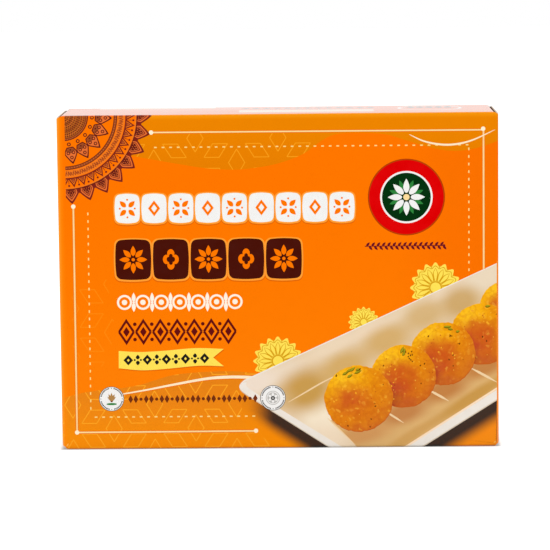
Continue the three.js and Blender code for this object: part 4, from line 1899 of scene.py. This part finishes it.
closures = []
for side, label in ((1, "right"), (-1, "left")):
    pts, fold = closure_outline(side)
    folds = [side * s for s in fold_steps(fold, HINGE_R, 1)]
    lines = fold_lines(folds, -3, HIGH + 3, True)
    inner = fold_lines(folds, 12.0, HIGH - 12.0, True)
    closures.append(
        board_piece(
            "closure_" + label, pts, closure_art(), place_closure(side), lines, inner,
            grid_points(-28, 28, 4, HIGH - 4, 7.5, inside_box(-29, 29, 3.5, HIGH - 3.5)),
            CLOSURE_T,
        )
    )

pieces = [panel_front, panel_back, panel_top, panel_base, *closures]
for ob in pieces:
    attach(ob, "root")
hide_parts("carton")


# ---------------------------------------------------------------- floor, light and camera


def floor_plane():
    mesh = bpy.data.meshes.new("floor")
    s = 6.0
    mesh.from_pydata([(-s, -s, 0), (s, -s, 0), (s, s, 0), (-s, s, 0)], [], [(0, 1, 2, 3)])
    ob = bpy.data.objects.new("floor", mesh)
    bpy.context.scene.collection.objects.link(ob)
    m = bpy.data.materials.new("pale_floor")
    m.use_nodes = True
    nt = m.node_tree
    bsdf = nt.nodes["Principled BSDF"]
    v = object_coords(nt, -1500)
    # how far outside the carton's footprint
    sep = node(nt, "ShaderNodeSeparateXYZ", -1300, 0)
    nt.links.new(v, sep.inputs["Vector"])
    parts = []
    for axis, half in (("X", HALF_W), ("Y", HALF_D)):
        a = node(nt, "ShaderNodeMath", -1100, 0, operation="ABSOLUTE")
        nt.links.new(sep.outputs[axis], a.inputs[0])
        d = node(nt, "ShaderNodeMath", -950, 0, operation="SUBTRACT")
        nt.links.new(a.outputs[0], d.inputs[0])
        d.inputs[1].default_value = half * MM
        parts.append(d.outputs[0])
    far = node(nt, "ShaderNodeMath", -800, 0, operation="MAXIMUM")
    nt.links.new(parts[0], far.inputs[0])
    nt.links.new(parts[1], far.inputs[1])
    # painted contact shadow: within about 3 mm of the carton's footprint the floor's glow falls to 0.35 and its
    # colour darkens towards (0.2, 0.19, 0.18)
    painted_shadow_fade = map_range(nt, far.outputs[0], -0.001, 0.0028, 0.35, 1.0, x=-600, smooth=True)
    glow = node(nt, "ShaderNodeMath", -300, -200, operation="MULTIPLY")
    nt.links.new(painted_shadow_fade, glow.inputs[0])
    glow.inputs[1].default_value = 0.62
    nt.links.new(glow.outputs[0], bsdf.inputs["Emission Strength"])
    fac = noise_fac(nt, v, 3.0, 2.0)
    pale = mix_colour(nt, fac, (0.60, 0.60, 0.60), (0.63, 0.63, 0.63), x=-350)
    nt.links.new(mix_colour(nt, painted_shadow_fade, (0.2, 0.19, 0.18), pale, x=-150), bsdf.inputs["Base Color"])
    bsdf.inputs["Roughness"].default_value = 0.9
    bsdf.inputs["Specular IOR Level"].default_value = 0.1
    bsdf.inputs["Emission Color"].default_value = (1, 1, 1, 1)
    mesh.materials.append(m)
    return ob


floor_plane()

world = bpy.data.worlds.new("studio")
bpy.context.scene.world = world
world.use_nodes = True
bg = world.node_tree.nodes["Background"]
bg.inputs["Color"].default_value = (1, 1, 1, 1)
bg.inputs["Strength"].default_value = 1.0


def soft_box(name, at, aim, size, power):
    data = bpy.data.lights.new(name, "AREA")
    data.shape = "SQUARE"
    data.size = size
    data.energy = power
    ob = bpy.data.objects.new(name, data)
    bpy.context.scene.collection.objects.link(ob)
    ob.location = at
    ob.rotation_euler = (Vector(aim) - Vector(at)).to_track_quat("-Z", "Y").to_euler()
    return ob


soft_box("key", (-0.9, -1.3, 1.5), (0, 0, 0.1), 0.9, 3.0)
soft_box("overhead", (0.0, 0.15, 1.7), (0, 0, 0.1), 1.2, 6.0)

cam_data = bpy.data.cameras.new("camera")
cam = bpy.data.objects.new("camera", cam_data)
bpy.context.scene.collection.objects.link(cam)
bpy.context.scene.camera = cam
cam_data.sensor_width = 36.0
cam_data.lens = 194.379
cam_data.clip_start, cam_data.clip_end = 0.05, 50.0

CAM_AT = (21.52, -1707.64, 304.82)
CAM_YAW, CAM_PITCH, CAM_ROLL = (math.radians(a) for a in (0.8076, 6.9733, -0.5993))
cy, sy = math.cos(CAM_YAW), math.sin(CAM_YAW)
cp, sp = math.cos(CAM_PITCH), math.sin(CAM_PITCH)
cr, sr = math.cos(CAM_ROLL), math.sin(CAM_ROLL)
ahead = Vector((-sy * cp, cy * cp, -sp))
right = Vector((cy, sy, 0.0))
up = right.cross(ahead)
right_r = cr * right + sr * up
up_r = -sr * right + cr * up
from mathutils import Matrix  # noqa: E402

cam.matrix_world = Matrix(
    (
        (right_r.x, up_r.x, -ahead.x, CAM_AT[0] * MM),
        (right_r.y, up_r.y, -ahead.y, CAM_AT[1] * MM),
        (right_r.z, up_r.z, -ahead.z, CAM_AT[2] * MM),
        (0, 0, 0, 1),
    )
)

bpy.context.scene.view_settings.view_transform = "Standard"
bpy.context.scene.view_settings.look = "None"
bpy.context.scene.view_settings.exposure = 0.0
bpy.context.scene.view_settings.gamma = 1.0

bpy.context.view_layer.update()
